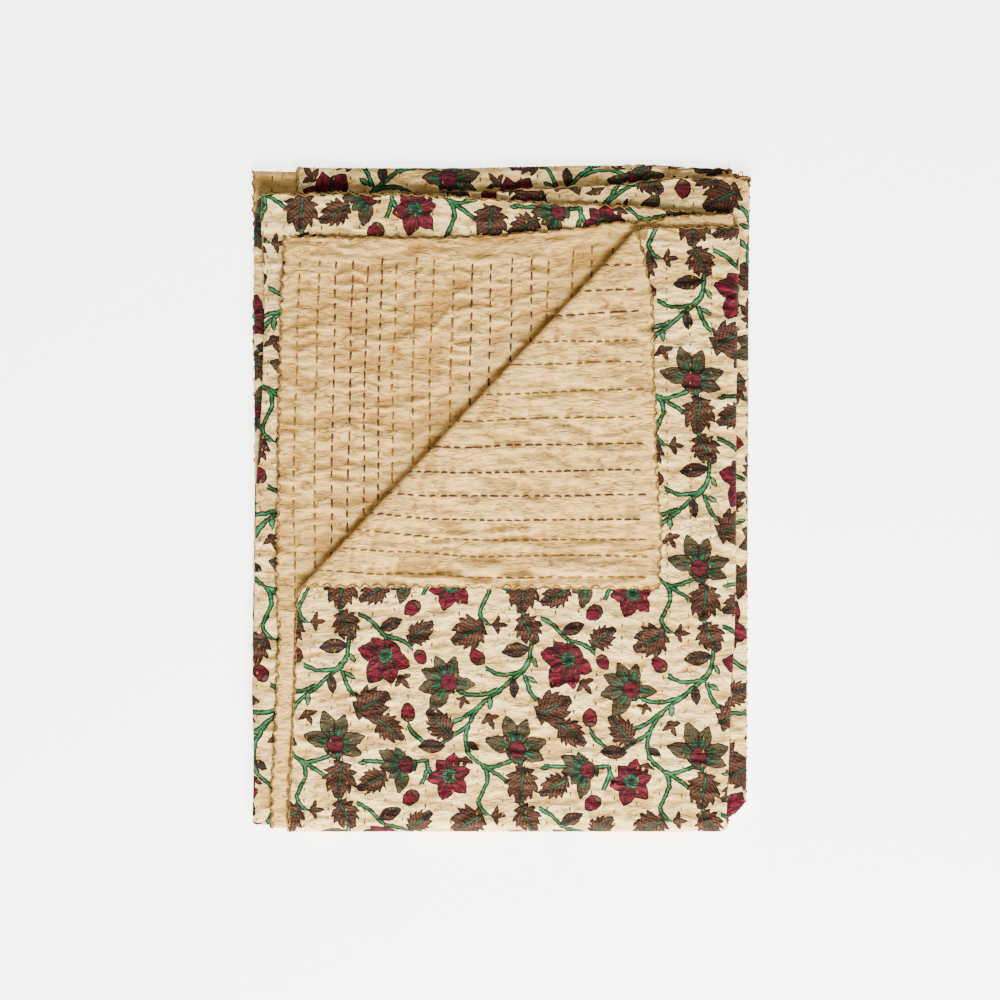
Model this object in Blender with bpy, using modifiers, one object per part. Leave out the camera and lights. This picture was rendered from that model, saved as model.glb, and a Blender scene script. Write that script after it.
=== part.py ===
"""Kantha quilt, folded in eight and lying flat, with one corner of its cover turned back.

The quilt is two cloths, a printed face and a plain back, which rows of running stitch hold together.
Both are cut from the same flat pattern, a rectangle read in two directions:

    along   the long way of the quilt: four runs of cloth with three turns between them
    down    the short way: up-side half, bottom fold, under-side half, and an end that is tucked under

fold_quilt() says where a point of that pattern lies once the quilt is folded in quarters along, then
in half down, with the cover's corner turned back.  Both cloths go through it, so that they stay one
above the other through every fold.  Metres, +Z up, origin under the middle of the folded quilt.
"""
from math import cos, pi, sin

import bpy
from mathutils import Vector
from mathutils.geometry import delaunay_2d_cdt
from numpy import interp

MM = 0.001

# Cloth
CLOTH = 1.2 * MM                    # thickness of each cloth, with the worn layers quilted to it
CLOTH_GAP = 0.3 * MM                # between the two cloths
HALF_QUILT = CLOTH + CLOTH_GAP / 2  # from the middle of the quilt to its face
PITCH = 4.0 * MM                    # from one folded layer to the next
STITCH_PITCH = 20.2 * MM            # between rows of running stitch
PUFF = 0.55 * MM                    # how far a face stands up between two rows

# Middle of the whole outline, in the measure of the tables below
CENTRE = Vector((0.6 * MM, -0.3 * MM, 0.0))

# Bottom fold, and the level of the layers' common middle
FOLD_AXIS_Y = -370.5 * MM
MIDDLE_Z = HALF_QUILT + 3.5 * PITCH

# Corner of the cover, turned back over a slanting crease
CREASE_POINT = Vector((-231.2 * MM, -104.1 * MM))
CREASE_OUTWARD = Vector((-0.7298, 0.6836))
CREASE_RADIUS = 4.5 * MM
FLAP_LEVEL = 4.6 * MM                # of the flap over the cover, once it has settled
FLAP_SETTLES = 60 * MM              # from the crease to there

# Lines along the crease that the cover bends on, from where its roll starts, and the band around
# them in which the cover has no other lines
ROLL = pi * CREASE_RADIUS
ROLL_STEPS = 4
FLAP_LINES = (14 * MM, 36 * MM)
CREASE_LINES = [ROLL * step / ROLL_STEPS for step in range(ROLL_STEPS + 1)]
CREASE_LINES += [ROLL + place for place in FLAP_LINES]
CREASE_BAND = (-8 * MM, ROLL + 44 * MM)

# End of the two lowest layers, tucked under
TUCK_FADES = (225 * MM, 285 * MM)   # where the tuck opens out, towards the folded side
PLAIN_END = 2.5 * MM                 # length of the same stretch where nothing is tucked
TUCK_BENT_SHARE = 0.75              # of the pattern's tuck that is bent; the rest lies straight
TUCK_RADIUS = {"cover": 0.5 * PITCH, "second": 1.5 * PITCH}
NO_BEND = 0.01                      # radians, below which a bent end counts as straight
LIFT_RAMP = (283 * MM, 352.5 * MM)

# Slump of the stack's sides, and the soft unevenness of its top
SLUMP = 0.14
SLUMP_FROM, SLUMP_TO = 225 * MM, 292 * MM
WAVE = 0.45 * MM
WAVES = ((31, 9, 0.0), (17, -23, 1.3))  # radians per metre across and up, and where each starts

# Runs and turns along the quilt: length on the pattern, level above the packet's inner face in
# layers, edge or fold where each starts and ends, and the lines that its cloth bends on
RUN_COLUMNS = ("name", "length", "level", "start", "end", "steps")
RUNS = (
    ("cover", 530.0, 3.5, "cover_left", "outer", 8),
    ("outer turn", 19.0, None, "outer", "outer", 5),
    ("innermost", 550.0, 0.5, "outer", "left", 5),
    ("left turn", 6.3, None, "left", "left", 4),
    ("third", 550.0, 1.5, "left", "inner", 5),
    ("inner turn", 6.3, None, "inner", "inner", 4),
    ("second", 520.0, 2.5, "inner", "second_left", 8),
)

# Stages down the quilt: length on the pattern, and the places of the lines that its cloth bends on
STAGE_COLUMNS = ("name", "length", "lines")
STAGES = (
    ("upper", 600.0, (0, 16, 32, 48, 64, 130, 240, 350, 460, 555)),
    ("fold", 30.0, (0, 6, 12, 18, 24)),
    ("lower", 640.0, (0, 10.7, 17.6, 70, 200, 330, 460, 561, 577, 593, 609, 625)),
    ("tuck", 24.0, (0, 4.5, 9, 13.5, 18, 24)),
)

# Edges and folds of the upper four layers across the quilt, in mm, at heights y up the packet
UPPER = (
    ("y", "cover_left", "outer", "second_left", "inner", "left"),
    (-385.8, -246.1, 259.3, -266.8, 253.0, -287.5),
    (-301.9, -243.2, 262.8, -264.5, 256.5, -285.0),
    (-232.9, -240.4, 265.7, -259.3, 259.4, -287.5),
    (-163.9, -238.1, 269.1, -257.6, 262.8, -285.4),
    (-94.9, -233.5, 270.8, -259.3, 264.5, -284.6),
    (20.1, -240.6, 271.4, -258.8, 265.1, -282.3),
    (112.1, -247.6, 271.4, -257.6, 265.1, -275.8),
    (227.1, -256.0, 273.7, -254.2, 267.4, -272.8),
    (301.9, -261.6, 274.9, -250.7, 268.6, -276.4),
    (353.6, -265.0, 274.9, -248.4, 268.6, -275.6),
)

# The same for the lower four
LOWER = (
    ("y", "cover_left", "outer", "second_left", "inner", "left"),
    (-370.5, -246.1, 264.0, -266.8, 257.5, -286.4),
    (-358.0, -246.8, 280.0, -266.1, 264.5, -286.4),
    (-350.0, -247.3, 284.1, -265.7, 266.5, -286.4),
    (-301.9, -252.0, 284.6, -263.4, 266.8, -286.4),
    (-163.9, -268.0, 285.2, -257.6, 266.8, -287.2),
    (20.1, -285.0, 285.8, -250.7, 266.8, -284.6),
    (227.1, -287.4, 286.9, -242.7, 267.4, -285.6),
    (307.6, -287.4, 287.5, -239.2, 268.0, -285.8),
    (353.6, -287.2, 288.1, -236.9, 268.5, -279.0),
    (376.6, -286.9, 288.7, -235.8, 268.0, -277.0),
)

# Height y of each layer's end, in mm, at places x across the packet.  A lower layer that is tucked
# has the crease of its tuck here, and the last columns are the tuck's depth and the lift over it
ENDS = (
    ("x", "cover", "second", "third", "innermost",
     "lower innermost", "lower third", "lower second", "lower cover", "depth", "lift"),
    (-287.5, 310.6, 300.7, 353.6, 351.3, 351.0, 350.2, 375.5, 375.5, 27.6, 8.1),
    (-248.4, 310.6, 300.7, 351.9, 347.9, 351.0, 349.6, 374.9, 374.9, 26.0, 8.1),
    (-226.6, 315.7, 300.7, 351.3, 345.6, 350.5, 349.0, 374.3, 374.3, 25.0, 8.1),
    (-173.7, 317.4, 300.7, 352.5, 342.1, 351.0, 349.6, 374.0, 374.0, 24.0, 8.1),
    (-42.6, 320.3, 301.3, 346.7, 335.2, 354.2, 350.8, 373.9, 373.9, 22.0, 8.1),
    (-1.2, 322.0, 302.3, 344.4, 332.9, 354.8, 351.3, 375.0, 375.0, 21.0, 8.1),
    (72.5, 323.7, 310.5, 340.4, 327.2, 358.2, 354.8, 376.6, 376.6, 19.5, 8.1),
    (113.9, 320.3, 315.1, 338.7, 324.9, 360.5, 357.1, 377.0, 377.0, 15.0, 7.3),
    (159.9, 311.1, 319.7, 335.8, 321.4, 365.1, 361.7, 377.3, 377.3, 9.0, 5.0),
    (189.8, 311.7, 323.7, 333.5, 319.1, 369.7, 366.3, 378.0, 376.6, 5.0, 4.2),
    (228.9, 312.8, 326.0, 328.3, 316.8, 369.7, 368.6, 379.0, 374.3, 3.0, 3.2),
    (274.9, 314.5, 327.2, 327.2, 314.5, 370.3, 377.8, 376.5, 368.6, 2.5, 2.0),
)

# Rows of stitch are raised where the cloths show from above: along the cover and its flap, and on
# the stretch of the second layer that the flap uncovers.  How far they reach from the finished edge
# and from the top end, and the cross lines that they bend on
PUFF_COLUMNS = ("from_edge", "from_end")
PUFFS = {"cover": (530.0, 555.0), "second": (410.0, 460.0)}
ROW_LINES = (0, 32, 64, 240, 460, 555)
NEAR_END = 3 * MM                   # nearer the cover's end than this, a crease line has no point


def named_rows(columns, rows):
    return [dict(zip(columns, row)) for row in rows]


def named_columns(table):
    head, *rows = table
    return dict(zip(head, zip(*rows)))


def read(table, column, place):
    """A column's value at a place between two rows, in metres."""
    key = next(iter(table))
    return float(interp(place / MM, table[key], table[column])) * MM


def smooth(value, low, high):
    share = min(max((value - low) / (high - low), 0.0), 1.0)
    return share * share * (3 - 2 * share)


def blend(first, second, share):
    return first + (second - first) * share


runs = named_rows(RUN_COLUMNS, RUNS)
stages = named_rows(STAGE_COLUMNS, STAGES)
sides = {"upper": named_columns(UPPER), "lower": named_columns(LOWER)}
ends = named_columns(ENDS)
puffs = {name: dict(zip(PUFF_COLUMNS, row)) for name, row in PUFFS.items()}
WHOLE_LENGTH = sum(run["length"] for run in runs) * MM
WHOLE_WIDTH = sum(stage["length"] for stage in stages) * MM


def part_of(pieces, distance):
    """Which piece of a row of lengths a distance falls in, and the share of it that lies behind."""
    for index, piece in enumerate(pieces):
        length = piece["length"] * MM
        if distance <= length or index == len(pieces) - 1:
            return index, min(max(distance / length, 0.0), 1.0)
        distance -= length


def side(name, half, height):
    """Middle of the quilt at an edge or fold; the tables give a fold's outline."""
    place = read(sides[half], name, height)
    inset = {"outer": -HALF_QUILT, "inner": -HALF_QUILT, "left": HALF_QUILT}
    return place + inset.get(name, 0.0)


def turn_shape(index):
    """Level of a turn's centre and its radius, from the runs on both sides of it."""
    above, below = runs[index - 1]["level"] * PITCH, runs[index + 1]["level"] * PITCH
    return (above + below) / 2, (above - below) / 2


def fold_place(name, place):
    """Where a run ends at a fold: the turn's radius short of its outermost point."""
    for index, run in enumerate(runs):
        if run["level"] is None and run["start"] == name:
            radius = abs(turn_shape(index)[1])
            return place + radius if name == "left" else place - radius
    return place


def across(index, share, where):
    """Place across the packet, and level, of a point on a run or turn. where() places the sides."""
    run = runs[index]
    start = fold_place(run["start"], where(run["start"]))
    if run["level"] is None:
        centre, radius = turn_shape(index)
        outward = -1 if run["start"] == "left" else 1
        reach = abs(radius) * sin(pi * share) * outward
        return start + reach, centre + radius * cos(pi * share)
    end = fold_place(run["end"], where(run["end"]))
    return blend(start, end, share), run["level"] * PITCH


def at_end(index, share, measure):
    """A measure taken at the ends of the layers; on a turn it runs from one layer to the next."""
    if runs[index]["level"] is not None:
        place, _ = across(index, share, lambda name: side(name, "upper", LIFT_RAMP[0]))
        return measure(runs[index]["name"], place)
    return blend(at_end(index - 1, 1.0, measure), at_end(index + 1, 0.0, measure), share)


def lower_end(name, place):
    """Height where a lower layer's last stretch starts."""
    height = read(ends, "lower " + name, place)
    return height if name in ("cover", "second") else height - PLAIN_END


def tuck_depth(name, place):
    return read(ends, "depth", place) if name in ("cover", "second") else PLAIN_END


def tuck_bend(name, place):
    """How sharply a layer is bent where it is tucked under, as one over the radius."""
    radius = TUCK_RADIUS.get(name)
    return (1 - smooth(place, *TUCK_FADES)) / radius if radius else 0.0


def rolled(distance, bend):
    """How far a bent end has gone on, and how far it has dropped."""
    if bend * distance < NO_BEND:
        return distance, 0.0
    if bend * distance > pi:
        return pi / bend - distance, 2 / bend
    return sin(bend * distance) / bend, (1 - cos(bend * distance)) / bend


def tuck_distance(share, depth, bend):
    """Distance into a tuck, so that most of the pattern's share goes to what is bent."""
    bent = min(TUCK_BENT_SHARE * depth, pi / bend if bend else depth)
    if share < TUCK_BENT_SHARE:
        return bent * share / TUCK_BENT_SHARE
    return blend(bent, depth, (share - TUCK_BENT_SHARE) / (1 - TUCK_BENT_SHARE))


def past_crease(point):
    """Distance of a point of the cover past the line where its roll starts."""
    start = CREASE_POINT - CREASE_OUTWARD * (CREASE_RADIUS + HALF_QUILT)
    return (point.xy - start).dot(CREASE_OUTWARD)


def turn_back(point):
    """Roll the part of the cover beyond the crease up and over, to lie on the cover."""
    beyond = past_crease(point)
    if beyond <= 0:
        return point
    plan = Vector(point.xy)
    onward, rise = rolled(beyond, 1 / CREASE_RADIUS)
    settled = smooth(beyond, pi * CREASE_RADIUS, pi * CREASE_RADIUS + FLAP_SETTLES)
    rise = blend(rise, FLAP_LEVEL, settled)
    plan += CREASE_OUTWARD * (onward - beyond)
    return Vector((plan.x, plan.y, point.z + rise))


def beyond_crease(along, down):
    """Distance past the crease of a point on the flat pattern."""
    index, share = part_of(runs, along)
    return past_crease(lay_flat(index, share, down / (stages[0]["length"] * MM)))


def lay_flat(index, share, down_share):
    """A point of the upper half before any corner is turned back."""
    end = at_end(index, share, lambda name, place: read(ends, name, place))
    height = blend(end, FOLD_AXIS_Y, down_share)
    place, level = across(index, share, lambda name: side(name, "upper", height))
    return Vector((place, height, MIDDLE_Z + level))


def round_bottom(index, share, turn_share):
    """A point of the bottom fold, where every layer has its own radius."""
    mix = smooth(turn_share, 0, 1)

    def where(name):
        return blend(side(name, "upper", FOLD_AXIS_Y), side(name, "lower", FOLD_AXIS_Y), mix)

    place, level = across(index, share, where)
    angle = pi * turn_share
    return Vector((place, FOLD_AXIS_Y - level * sin(angle), MIDDLE_Z + level * cos(angle)))


def lay_under(index, share, height, flat_height, drop):
    """A point of the lower half; a tucked end is as far across as it was before the tuck."""
    place, level = across(index, share, lambda name: side(name, "lower", flat_height))
    return Vector((place, height, MIDDLE_Z - level - drop))


def settle(point):
    """Lift the layers over the tucked end, slump the sides, and leave the top a little uneven."""
    lift = read(ends, "lift", point.x) * smooth(point.y, *LIFT_RAMP)
    above_floor_layer = max(point.z - HALF_QUILT, 0.0)
    slump = SLUMP * smooth(abs(point.x), SLUMP_FROM, SLUMP_TO)
    ripple = sum(sin(across_way * point.x + up_way * point.y + start)
                 for across_way, up_way, start in WAVES)
    wave = WAVE * ripple * above_floor_layer / (8 * PITCH)
    return Vector((point.x, point.y, point.z + lift - slump * above_floor_layer + wave))


def fold_quilt(along, down):
    """Where a point of the flat pattern lies in the folded quilt."""
    index, share = part_of(runs, along)
    stage, down_share = part_of(stages, down)
    name = stages[stage]["name"]
    if name == "upper":
        point = lay_flat(index, share, down_share)
        return settle(turn_back(point) if runs[index]["name"] == "cover" else point)
    if name == "fold":
        return settle(round_bottom(index, share, down_share))
    crease = at_end(index, share, lower_end)
    if name == "lower":
        height = blend(FOLD_AXIS_Y, crease, down_share)
        return settle(lay_under(index, share, height, height, 0.0))
    bend = at_end(index, share, tuck_bend)
    distance = tuck_distance(down_share, at_end(index, share, tuck_depth), bend)
    onward, drop = rolled(distance, bend)
    return settle(lay_under(index, share, crease + onward, crease + distance, drop))


def face_direction(along, down, step=0.2 * MM):
    """Direction that the printed side faces."""
    left, right = max(along - step, 0), min(along + step, WHOLE_LENGTH)
    top, bottom = max(down - step, 0), min(down + step, WHOLE_WIDTH)
    across_way = fold_quilt(right, down) - fold_quilt(left, down)
    down_way = fold_quilt(along, bottom) - fold_quilt(along, top)
    return down_way.cross(across_way).normalized()


def puff(along, down):
    """Rise of a face between rows of stitch: none on a row, on a turn or at an edge."""
    index, share = part_of(runs, along)
    name, length = runs[index]["name"], runs[index]["length"] * MM
    from_edge = (share if name == "cover" else 1 - share) * length
    if name not in puffs or not 0 < down < puffs[name]["from_end"] * MM:
        return 0.0
    if not 0 < from_edge < puffs[name]["from_edge"] * MM:
        return 0.0
    return PUFF * (1 - cos(2 * pi * from_edge / STITCH_PITCH)) / 2


def solve(measure, wanted, low, high):
    """Where a measure that grows from low to high reaches the wanted value, or None."""
    if not measure(low) < wanted < measure(high):
        return None
    for _ in range(30):
        middle = (low + high) / 2
        if measure(middle) < wanted:
            low = middle
        else:
            high = middle
    return (low + high) / 2


def lines_down():
    """Places of the pattern's cross lines: for every layer, and those of the tuck's bend."""
    common, tuck = [], []
    start = 0.0
    for stage in stages:
        places = [start + place * MM for place in stage["lines"]]
        if stage["name"] == "tuck":
            common += [places[0], places[-1]]
            tuck = places[1:-1]
        else:
            common += places
        start += stage["length"] * MM
    return common, tuck


def lines_along():
    """Places of the pattern's long lines: for both halves, and those of the stitch rows."""
    common, rows = [], []
    start = 0.0
    for run in runs:
        length = run["length"] * MM
        common += [start + length * step / run["steps"] for step in range(run["steps"])]
        if run["name"] in puffs:
            reach = puffs[run["name"]]["from_edge"] * MM
            edge = start if run["name"] == "cover" else start + length
            inward = 1 if run["name"] == "cover" else -1
            count = int(2 * reach / STITCH_PITCH)
            rows += [(edge + inward * step * STITCH_PITCH / 2, run["name"]) for step in range(1, count)]
        start += length
    return common + [start], rows


def cover_line(along, places):
    """Points down one long line of the cover: those of the crease take the place of the even ones.

    Each has the crease line that it lies on, or None.
    """
    upper = stages[0]["length"] * MM
    line = [(down, None) for down in places
            if down > upper or not CREASE_BAND[0] < beyond_crease(along, down) < CREASE_BAND[1]]
    for distance in CREASE_LINES:
        down = solve(lambda place: -beyond_crease(along, place), -distance, 0.0, upper)
        if down is not None and down > NEAR_END:
            line.append((down, distance))
    return sorted(line, key=lambda place: place[0])


def quilt_pattern():
    """Points and guide lines of the flat pattern, joined to triangles."""
    down_common, down_tuck = lines_down()
    along_common, along_rows = lines_along()
    points, guides = [], []
    creases = {distance: [] for distance in CREASE_LINES}

    def add_line(along, name, places):
        line = cover_line(along, places) if name == "cover" else [(down, None) for down in places]
        for step, (down, distance) in enumerate(line):
            if step:
                guides.append((len(points) - 1, len(points)))
            if distance is not None:
                creases[distance].append((along, len(points)))
            points.append(Vector((along, down)))

    for along in along_common:
        name = runs[part_of(runs, along + 0.01 * MM)[0]]["name"]
        tucked = name in ("cover", "second") or along == along_common[-1]
        add_line(along, name, sorted(down_common + (down_tuck if tucked else [])))
    for along, name in along_rows:
        if min(abs(along - other) for other in along_common) > STITCH_PITCH / 5:
            add_line(along, name, [down * MM for down in ROW_LINES if down <= puffs[name]["from_end"]])
    for distance, crossings in creases.items():
        along = solve(lambda place: -beyond_crease(place, 0.0), -distance, 0.0, runs[0]["length"] * MM)
        crossings.append((along, len(points)))
        points.append(Vector((along, 0.0)))
        crossings.sort()
        guides += [(first[1], second[1]) for first, second in zip(crossings, crossings[1:])]
    found, _, triangles, *_ = delaunay_2d_cdt(points, guides, [], 0, 1e-7)
    return found, triangles


def make_cloth(name, facing, pattern, material, collection):
    """One cloth of the quilt: its inner face on the folded pattern, thickened outwards."""
    places, triangles = pattern
    middle = [(fold_quilt(*place), face_direction(*place) * facing) for place in places]
    inner_face = [point + outward * CLOTH_GAP / 2 - CENTRE for point, outward in middle]
    mesh = bpy.data.meshes.new(name)
    mesh.from_pydata(inner_face, [], [corners[::-facing] for corners in triangles])
    mesh.shade_smooth()
    mesh.materials.append(material)
    cloth = bpy.data.objects.new(name, mesh)
    collection.objects.link(cloth)
    thickening = cloth.vertex_groups.new(name="thickening")
    for number, (place, (_, outward)) in enumerate(zip(places, middle)):
        rise = puff(*place) if outward.z > 0 else 0.0
        thickening.add([number], (CLOTH + rise) / (CLOTH + PUFF), "REPLACE")
    thickness = cloth.modifiers.new("thickness", "SOLIDIFY")
    thickness.thickness = CLOTH + PUFF
    thickness.offset = 1.0
    thickness.vertex_group = thickening.name
    return cloth


def make_material(name, colour, roughness):
    material = bpy.data.materials.new(name)
    material.use_nodes = True
    shader = material.node_tree.nodes["Principled BSDF"]
    shader.inputs["Base Color"].default_value = (*colour, 1.0)
    shader.inputs["Roughness"].default_value = roughness
    shader.inputs["Metallic"].default_value = 0.0
    return material


def build():
    for leftover in list(bpy.data.objects):
        bpy.data.objects.remove(leftover)
    collection = bpy.data.collections.new("kantha_quilt")
    bpy.context.scene.collection.children.link(collection)
    pattern = quilt_pattern()
    printed = make_material("printed_cotton", (0.62, 0.50, 0.34), 0.9)
    plain = make_material("plain_cotton", (0.72, 0.57, 0.36), 0.92)
    make_cloth("printed_face", 1, pattern, printed, collection)
    make_cloth("plain_back", -1, pattern, plain, collection)


build()
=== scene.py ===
"""Looks of the kantha quilt: two quilted cloths, their print, the rows of running stitch and the
overcast edges, folded in eight with one corner of the cover turned back.

Both cloths are laid out flat first, by two distances in millimetres:

    along   the long way of the quilt, from the finished edge of the cover
    down    the short way, from the top end of the cover, round the bottom fold and up underneath

fold() says where a point of the flat quilt lies once it is folded, skin() where the outside of a
cloth lies there, and stitches, edge thread and print are all placed by the same two distances.
"""

import math

import bpy
import numpy as np
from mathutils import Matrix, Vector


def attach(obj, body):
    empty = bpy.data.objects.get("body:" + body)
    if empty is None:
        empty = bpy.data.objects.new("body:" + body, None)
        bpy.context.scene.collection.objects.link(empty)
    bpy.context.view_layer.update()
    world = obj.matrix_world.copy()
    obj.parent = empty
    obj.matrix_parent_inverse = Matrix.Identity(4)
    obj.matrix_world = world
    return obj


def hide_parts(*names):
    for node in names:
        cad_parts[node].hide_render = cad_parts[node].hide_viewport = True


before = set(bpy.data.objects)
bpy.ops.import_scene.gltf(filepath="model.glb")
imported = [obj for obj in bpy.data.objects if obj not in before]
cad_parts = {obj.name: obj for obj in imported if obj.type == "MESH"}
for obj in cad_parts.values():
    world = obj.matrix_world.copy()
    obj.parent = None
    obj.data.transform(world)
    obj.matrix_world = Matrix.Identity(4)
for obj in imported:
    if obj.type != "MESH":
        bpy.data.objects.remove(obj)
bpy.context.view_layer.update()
rng = np.random.default_rng(7)

MM = 0.001

# ---------------------------------------------------------------- folded quilt, all in millimetres
HALF = 1.35                             # from the middle of the quilt to its face
PITCH = 4.0                             # from one folded layer to the next
CENTRE = np.array([0.6, -0.3, 0.0])     # of the outline, in the measure of the tables below

# Bottom fold, and the level of the layers' common middle
FOLD_Y = -370.5
MIDDLE_Z = HALF + 3.5 * PITCH

# Slanting crease that the cover's corner is turned back over: a point on it and the way out of it
CREASE_POINT = np.array([-231.2, -104.1])
CREASE_OUT = np.array([-0.7298, 0.6836])
CREASE_RADIUS = 4.5
FLAP_LEVEL, FLAP_SETTLES = 4.6, 60.0    # over the cover, and how far from the crease it is reached

# Lower end, tucked under on the left and plain on the right, and the rise of the open top end
TUCK_FADES = (225.0, 285.0)
PLAIN_END = 2.5
NO_BEND = 0.01                          # radians, below which a bent end counts as straight
LIFT_RAMP = (283.0, 352.5)

# Slump of the sides and soft waves of the top
SLUMP, SLUMP_FROM, SLUMP_TO = 0.14, 225.0, 292.0
WAVE = 0.45

# Each run and turn: name, length, level above the packet's middle in layers, and the edge or fold
# where it starts and ends
RUNS = (
    ("cover", 528.0, 3.5, "cover_left", "outer"),
    ("outer turn", 19.0, None, "outer", "outer"),
    ("innermost", 552.0, 0.5, "outer", "left"),
    ("left turn", 6.3, None, "left", "left"),
    ("third", 548.0, 1.5, "left", "inner"),
    ("inner turn", 6.3, None, "inner", "inner"),
    ("second", 521.0, 2.5, "inner", "second_left"),
)
# The same for the short way: name and length
STAGES = (("upper", 695.0), ("fold", 45.0), ("lower", 735.0), ("tuck", 25.0))
RUN_ENDS = np.concatenate([[0.0], np.cumsum([run[1] for run in RUNS])])
STAGE_ENDS = np.concatenate([[0.0], np.cumsum([stage[1] for stage in STAGES])])
LENGTH, WIDTH = float(RUN_ENDS[-1]), float(STAGE_ENDS[-1])
RUN_START = {run[0]: float(start) for run, start in zip(RUNS, RUN_ENDS)}

# Place across of each edge and side fold, at places up the packet, above and below the bottom fold
UPPER = (
    ("y", "cover_left", "outer", "second_left", "inner", "left"),
    (-385.8, -246.1, 259.3, -266.8, 253.0, -287.5),
    (-301.9, -243.2, 262.8, -264.5, 256.5, -285.0),
    (-232.9, -240.4, 265.7, -259.3, 259.4, -287.5),
    (-163.9, -238.1, 269.1, -257.6, 262.8, -285.4),
    (-94.9, -233.5, 270.8, -259.3, 264.5, -284.6),
    (20.1, -240.6, 271.4, -258.8, 265.1, -282.3),
    (112.1, -247.6, 271.4, -257.6, 265.1, -275.8),
    (227.1, -256.0, 273.7, -254.2, 267.4, -272.8),
    (301.9, -261.6, 274.9, -250.7, 268.6, -276.4),
    (353.6, -265.0, 274.9, -248.4, 268.6, -275.6),
)
LOWER = (
    ("y", "cover_left", "outer", "second_left", "inner", "left"),
    (-370.5, -246.1, 264.0, -266.8, 257.5, -286.4),
    (-358.0, -246.8, 280.0, -266.1, 264.5, -286.4),
    (-350.0, -247.3, 284.1, -265.7, 266.5, -286.4),
    (-301.9, -252.0, 284.6, -263.4, 266.8, -286.4),
    (-163.9, -268.0, 285.2, -257.6, 266.8, -287.2),
    (20.1, -285.0, 285.8, -250.7, 266.8, -284.6),
    (227.1, -287.4, 286.9, -242.7, 267.4, -285.6),
    (307.6, -287.4, 287.5, -239.2, 268.0, -285.8),
    (353.6, -287.2, 288.1, -236.9, 268.5, -279.0),
    (376.6, -286.9, 288.7, -235.8, 268.0, -277.0),
)
# Place of each layer's end, and the tuck's depth and the top's lift, at places across
ENDS = (
    ("x", "cover", "second", "third", "innermost",
     "lower innermost", "lower third", "lower second", "lower cover", "depth", "lift"),
    (-287.5, 310.6, 300.7, 353.6, 351.3, 351.0, 350.2, 375.5, 375.5, 27.6, 8.1),
    (-248.4, 310.6, 300.7, 351.9, 347.9, 351.0, 349.6, 374.9, 374.9, 26.0, 8.1),
    (-226.6, 315.7, 300.7, 351.3, 345.6, 350.5, 349.0, 374.3, 374.3, 25.0, 8.1),
    (-173.7, 317.4, 300.7, 352.5, 342.1, 351.0, 349.6, 374.0, 374.0, 24.0, 8.1),
    (-42.6, 320.3, 301.3, 346.7, 335.2, 354.2, 350.8, 373.9, 373.9, 22.0, 8.1),
    (-1.2, 322.0, 302.3, 344.4, 332.9, 354.8, 351.3, 375.0, 375.0, 21.0, 8.1),
    (72.5, 323.7, 310.5, 340.4, 327.2, 358.2, 354.8, 376.6, 376.6, 19.5, 8.1),
    (113.9, 320.3, 315.1, 338.7, 324.9, 360.5, 357.1, 377.0, 377.0, 15.0, 7.3),
    (159.9, 311.1, 319.7, 335.8, 321.4, 365.1, 361.7, 377.3, 377.3, 9.0, 5.0),
    (189.8, 311.7, 323.7, 333.5, 319.1, 369.7, 366.3, 378.0, 376.6, 5.0, 4.2),
    (228.9, 312.8, 326.0, 328.3, 316.8, 369.7, 368.6, 379.0, 374.3, 3.0, 3.2),
    (274.9, 314.5, 327.2, 327.2, 314.5, 370.3, 377.8, 376.5, 368.6, 2.5, 2.0),
)


def columns(table):
    return {name: np.array(values) for name, values in zip(table[0], zip(*table[1:]))}


SIDES = {"upper": columns(UPPER), "lower": columns(LOWER)}
END_AT = columns(ENDS)
INSET = {"outer": -HALF, "inner": -HALF, "left": HALF}


def smooth(value, low, high):
    share = np.clip((value - low) / (high - low), 0, 1)
    return share * share * (3 - 2 * share)


def blend(first, second, share):
    return first + (second - first) * share


def side(name, half, y):
    """Place across of an edge or fold of the upper or lower half."""
    return np.interp(y, SIDES[half]["y"], SIDES[half][name]) + INSET.get(name, 0.0)


def end_at(name, x):
    return np.interp(x, END_AT["x"], END_AT[name])


def turn_shape(index):
    """Level of a turn's middle, and its radius, up or down."""
    above, below = RUNS[index - 1][2] * PITCH, RUNS[index + 1][2] * PITCH
    return (above + below) / 2, (above - below) / 2


def fold_place(name, place):
    """Where a run ends, so that the turn beyond it reaches the fold's own place."""
    for index, run in enumerate(RUNS):
        if run[2] is None and run[3] == name:
            radius = abs(turn_shape(index)[1])
            return place + radius if name == "left" else place - radius
    return place


def across(index, share, where):
    """Place across the packet, and level, of points on a run or turn."""
    _, _, level, starts, ends = RUNS[index]
    start = fold_place(starts, where(starts))
    if level is None:
        centre, radius = turn_shape(index)
        outward = -1 if starts == "left" else 1
        reach = abs(radius) * np.sin(np.pi * share) * outward
        return start + reach, centre + radius * np.cos(np.pi * share)
    return blend(start, fold_place(ends, where(ends)), share), level * PITCH + 0 * share


def at_end(index, share, measure):
    """A measure of the layers' ends at points across a run, or between two runs on a turn."""
    if RUNS[index][2] is not None:
        place, _ = across(index, share, lambda name: side(name, "upper", LIFT_RAMP[0]))
        return measure(RUNS[index][0], place)
    last, first = np.ones_like(share), np.zeros_like(share)
    return blend(at_end(index - 1, last, measure), at_end(index + 1, first, measure), share)


def lower_end(name, place):
    height = end_at("lower " + name, place)
    return height if name in ("cover", "second") else height - PLAIN_END


def tuck_depth(name, place):
    return end_at("depth", place) if name in ("cover", "second") else PLAIN_END + 0 * place


def tuck_bend(name, place):
    radius = {"cover": 0.5 * PITCH, "second": 1.5 * PITCH}.get(name)
    return (1 - smooth(place, *TUCK_FADES)) / radius if radius else 0 * place


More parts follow.
